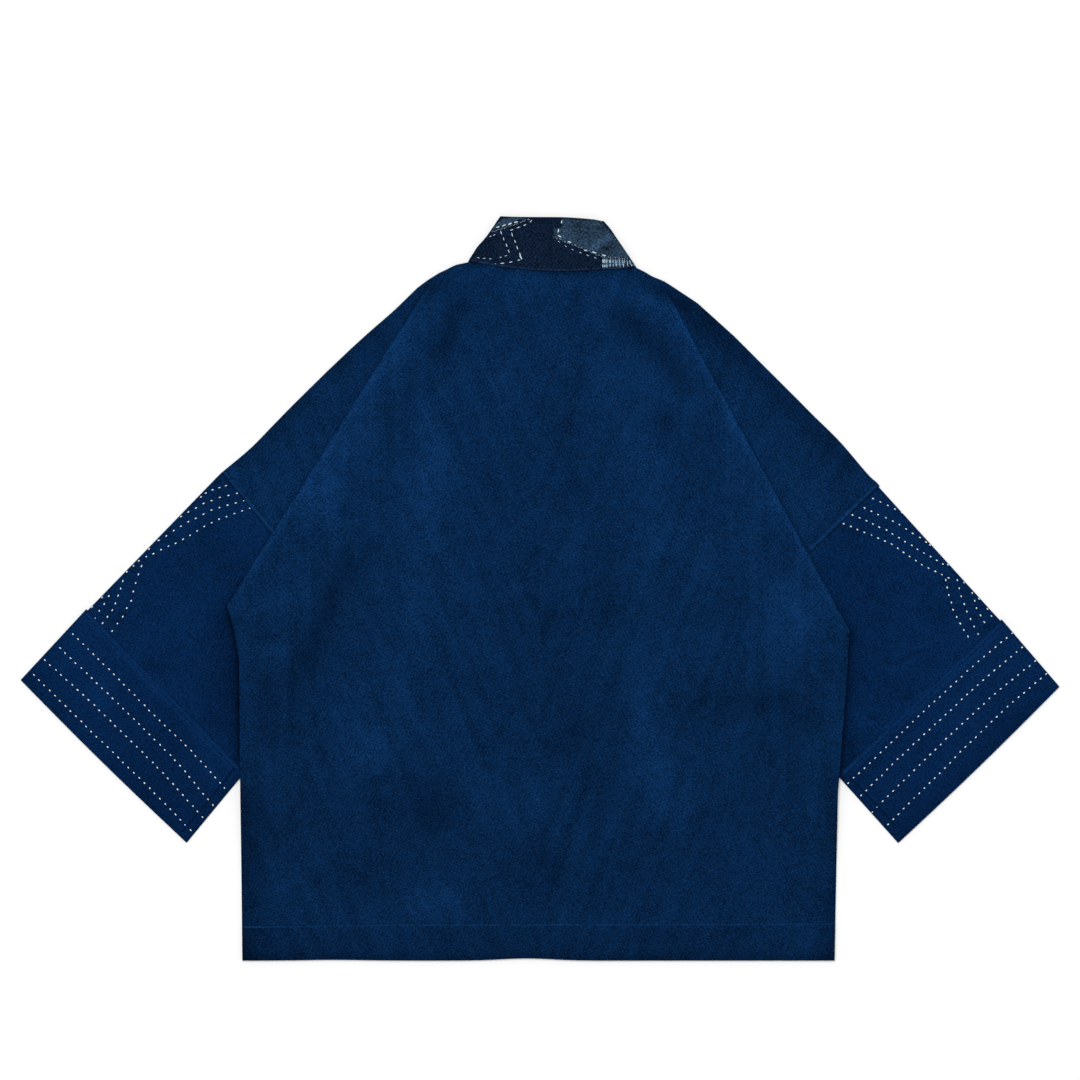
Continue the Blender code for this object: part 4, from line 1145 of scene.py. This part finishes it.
# Running stitches that hold the patches, bolder ones over their corners, and faint ones that have
# nearly worn away: size against a sashiko stitch, and the rows, each with its number of stitches
MENDING = {
    "stitches": ((1.8, 0.72, 0.7), [
        (4, [(-33, 375), (-18.6, 380.2), (-10.6, 384.1), (-6.7, 387.6)]),
        (4, [(-42, 376.6), (-31.2, 350.4)]),
        (4, [(-30.4, 374.6), (-19.4, 346.8)]),
        (5, [(-17.8, 345.9), (-29.8, 342.8), (-40, 341.2), (-50, 340.6), (-61, 342.6)]),
    ]),
    "bold_stitches": ((2.0, 1.1, 0.8), [
        (4, [(-47.5, 377.8), (-37, 381), (-22, 385.4)]),
        (1, [(20.2, 378), (18.6, 371.6)]), (1, [(18.2, 371), (22.6, 367.8)]),
        (1, [(24.2, 388), (21.8, 380.2)]), (1, [(-21, 349.4), (-19.2, 345.4)]),
        (1, [(28, 364.6), (34, 362.4)]), (2, [(44, 356), (61, 351.4)]),
        (1, [(65, 350.6), (70, 348.6)]),
    ]),
    "faint_stitches": ((1.3, 0.5, 0.5), [
        (2, [(-54, 368.6), (-46, 371.6)]), (3, [(-68, 347.2), (-49, 345.6)]),
        (2, [(-44, 346.4), (-33, 349.8)]),
        (6, [(16.4, 366.2), (27.7, 358.6), (37.5, 354), (48.7, 350.2), (62, 345.4)]),
    ]),
}
for kind, (size, rows) in MENDING.items():
    sew("mending_" + kind, [*collars, *patches], rows, faded_thread, size)

# The frayed edges, and how their loose ends lie: the pitch, how far they lean, and slip outward
FRAYED = [
    [(14.2, 369.3), (67.7, 347.6)], [(67.7, 347.6), (92, 346)], [(-51, 373.8), (-10, 388.4)],
]
FRAY_PITCH = 1.5
FRAY_LEAN = 1.6
FRAY_SLIP = (-0.9, 0.4)
FRAY_STITCH = (0.7, 0.24, 0.4)
loose = []
for edge in FRAYED:
    count = round(math.dist(*edge) / FRAY_PITCH)
    for spot, run in along_line(edge, [(k + 0.5) / count for k in range(count)]):
        lean = chance.uniform(-FRAY_LEAN, FRAY_LEAN)
        across = np.array((-run[1] + lean * run[0], run[0] + lean * run[1]))
        spot = spot + across * chance.uniform(*FRAY_SLIP)
        loose.append((1, [spot - across, spot + across]))
sew("patch_fraying", [*collars, *patches], loose, faded_thread, FRAY_STITCH)

# The darning's top and low edges: height at its start, and how far it falls or rises for each mm
DARN_FROM = 65.0
DARN_TOP = (346.6, -0.08)
DARN_LOW = (334.8, 0.12)
# Where its threads lie and how far each leans: close ones first, then ones that draw apart
CLOSE_THREADS = [(65.6, 0.4), (66.5, -0.6), (67.3, 0.5), (68.2, 0.2), (69.4, 0.9), (70.6, -0.4)]
OPEN_FROM = 72.4
OPEN_PITCH = 1.9
OPEN_GROWTH = 0.06
OPEN_LEANS = (1.6, -1.2, 0.6) * 4
DARN_STITCH = (1.9, 0.42, 0.45)
open_threads = [
    (OPEN_FROM + OPEN_PITCH * k + OPEN_GROWTH * k * k, lean) for k, lean in enumerate(OPEN_LEANS)
]
darning = [
    (2, [
        (x, DARN_TOP[0] + DARN_TOP[1] * (x - DARN_FROM)),
        (x + lean, DARN_LOW[0] + DARN_LOW[1] * (x - DARN_FROM)),
    ])
    for x, lean in CLOSE_THREADS + open_threads
]
sew("patch_darning", [darn], darning, faded_thread, DARN_STITCH)

# The row run down beside the collar's centre seam
CENTRE_ROWS = [(24, [(14.4, 385), (14.4, 337)])]
CENTRE_STITCH = (0.5, 0.36, 0.4)
topstitch("collar_centre", collars, CENTRE_ROWS, CENTRE_STITCH)

bpy.data.objects.remove(stitch)

# Floor, light and camera

# A plain pale floor just under the cloth, one large soft lamp overhead, and the camera
# straight above, as in the photograph.

# The floor's height and width, how white and how rough it is; then what the camera takes in
FLOOR_Z = -0.4 * MM
FLOOR_WIDE = 12.0
FLOOR_PALE = 0.96
FLOOR_ROUGH = 0.9
FRAME_WIDE = 1.134
CAMERA_HIGH = 8.0
CAMERA_Y = 0.0509
# The camera's sensor in mm, and how strong the sky and the lamp are
SENSOR = 36.0
WORLD_LIGHT = 0.35
LAMP_LIGHT = 2.3
LAMP_SOFT = math.radians(30.0)
LAMP_FROM = (-0.15, 0.25, 1.5)

bpy.ops.mesh.primitive_plane_add(size=FLOOR_WIDE, location=(0.0, 0.0, FLOOR_Z))
floor = bpy.context.active_object
floor.name = "floor"
bpy.ops.object.transform_apply(location=True, rotation=True, scale=True)
floor.select_set(False)
floor_paint, _, finish = matt("pale floor", gloss=0.0)
finish["Base Color"].default_value = (*(FLOOR_PALE,) * 3, 1.0)
finish["Roughness"].default_value = FLOOR_ROUGH
floor.data.materials.append(floor_paint)

world = bpy.data.worlds.new("studio")
bpy.context.scene.world = world
world.use_nodes = True
world.node_tree.nodes["Background"].inputs["Color"].default_value = (1.0, 1.0, 1.0, 1.0)
world.node_tree.nodes["Background"].inputs["Strength"].default_value = WORLD_LIGHT

lamp_data = bpy.data.lights.new("overhead softbox", "SUN")
lamp_data.energy = LAMP_LIGHT
lamp_data.angle = LAMP_SOFT
lamp = put("overhead softbox", lamp_data)
lamp.rotation_euler = (-Vector(LAMP_FROM)).to_track_quat("-Z", "Y").to_euler()

camera_data = bpy.data.cameras.new("camera")
camera_data.sensor_width = SENSOR
camera_data.lens = SENSOR * CAMERA_HIGH / FRAME_WIDE
camera = put("camera", camera_data)
camera.location = (0.0, CAMERA_Y, CAMERA_HIGH)
bpy.context.scene.camera = camera
bpy.context.scene.view_settings.view_transform = "Standard"
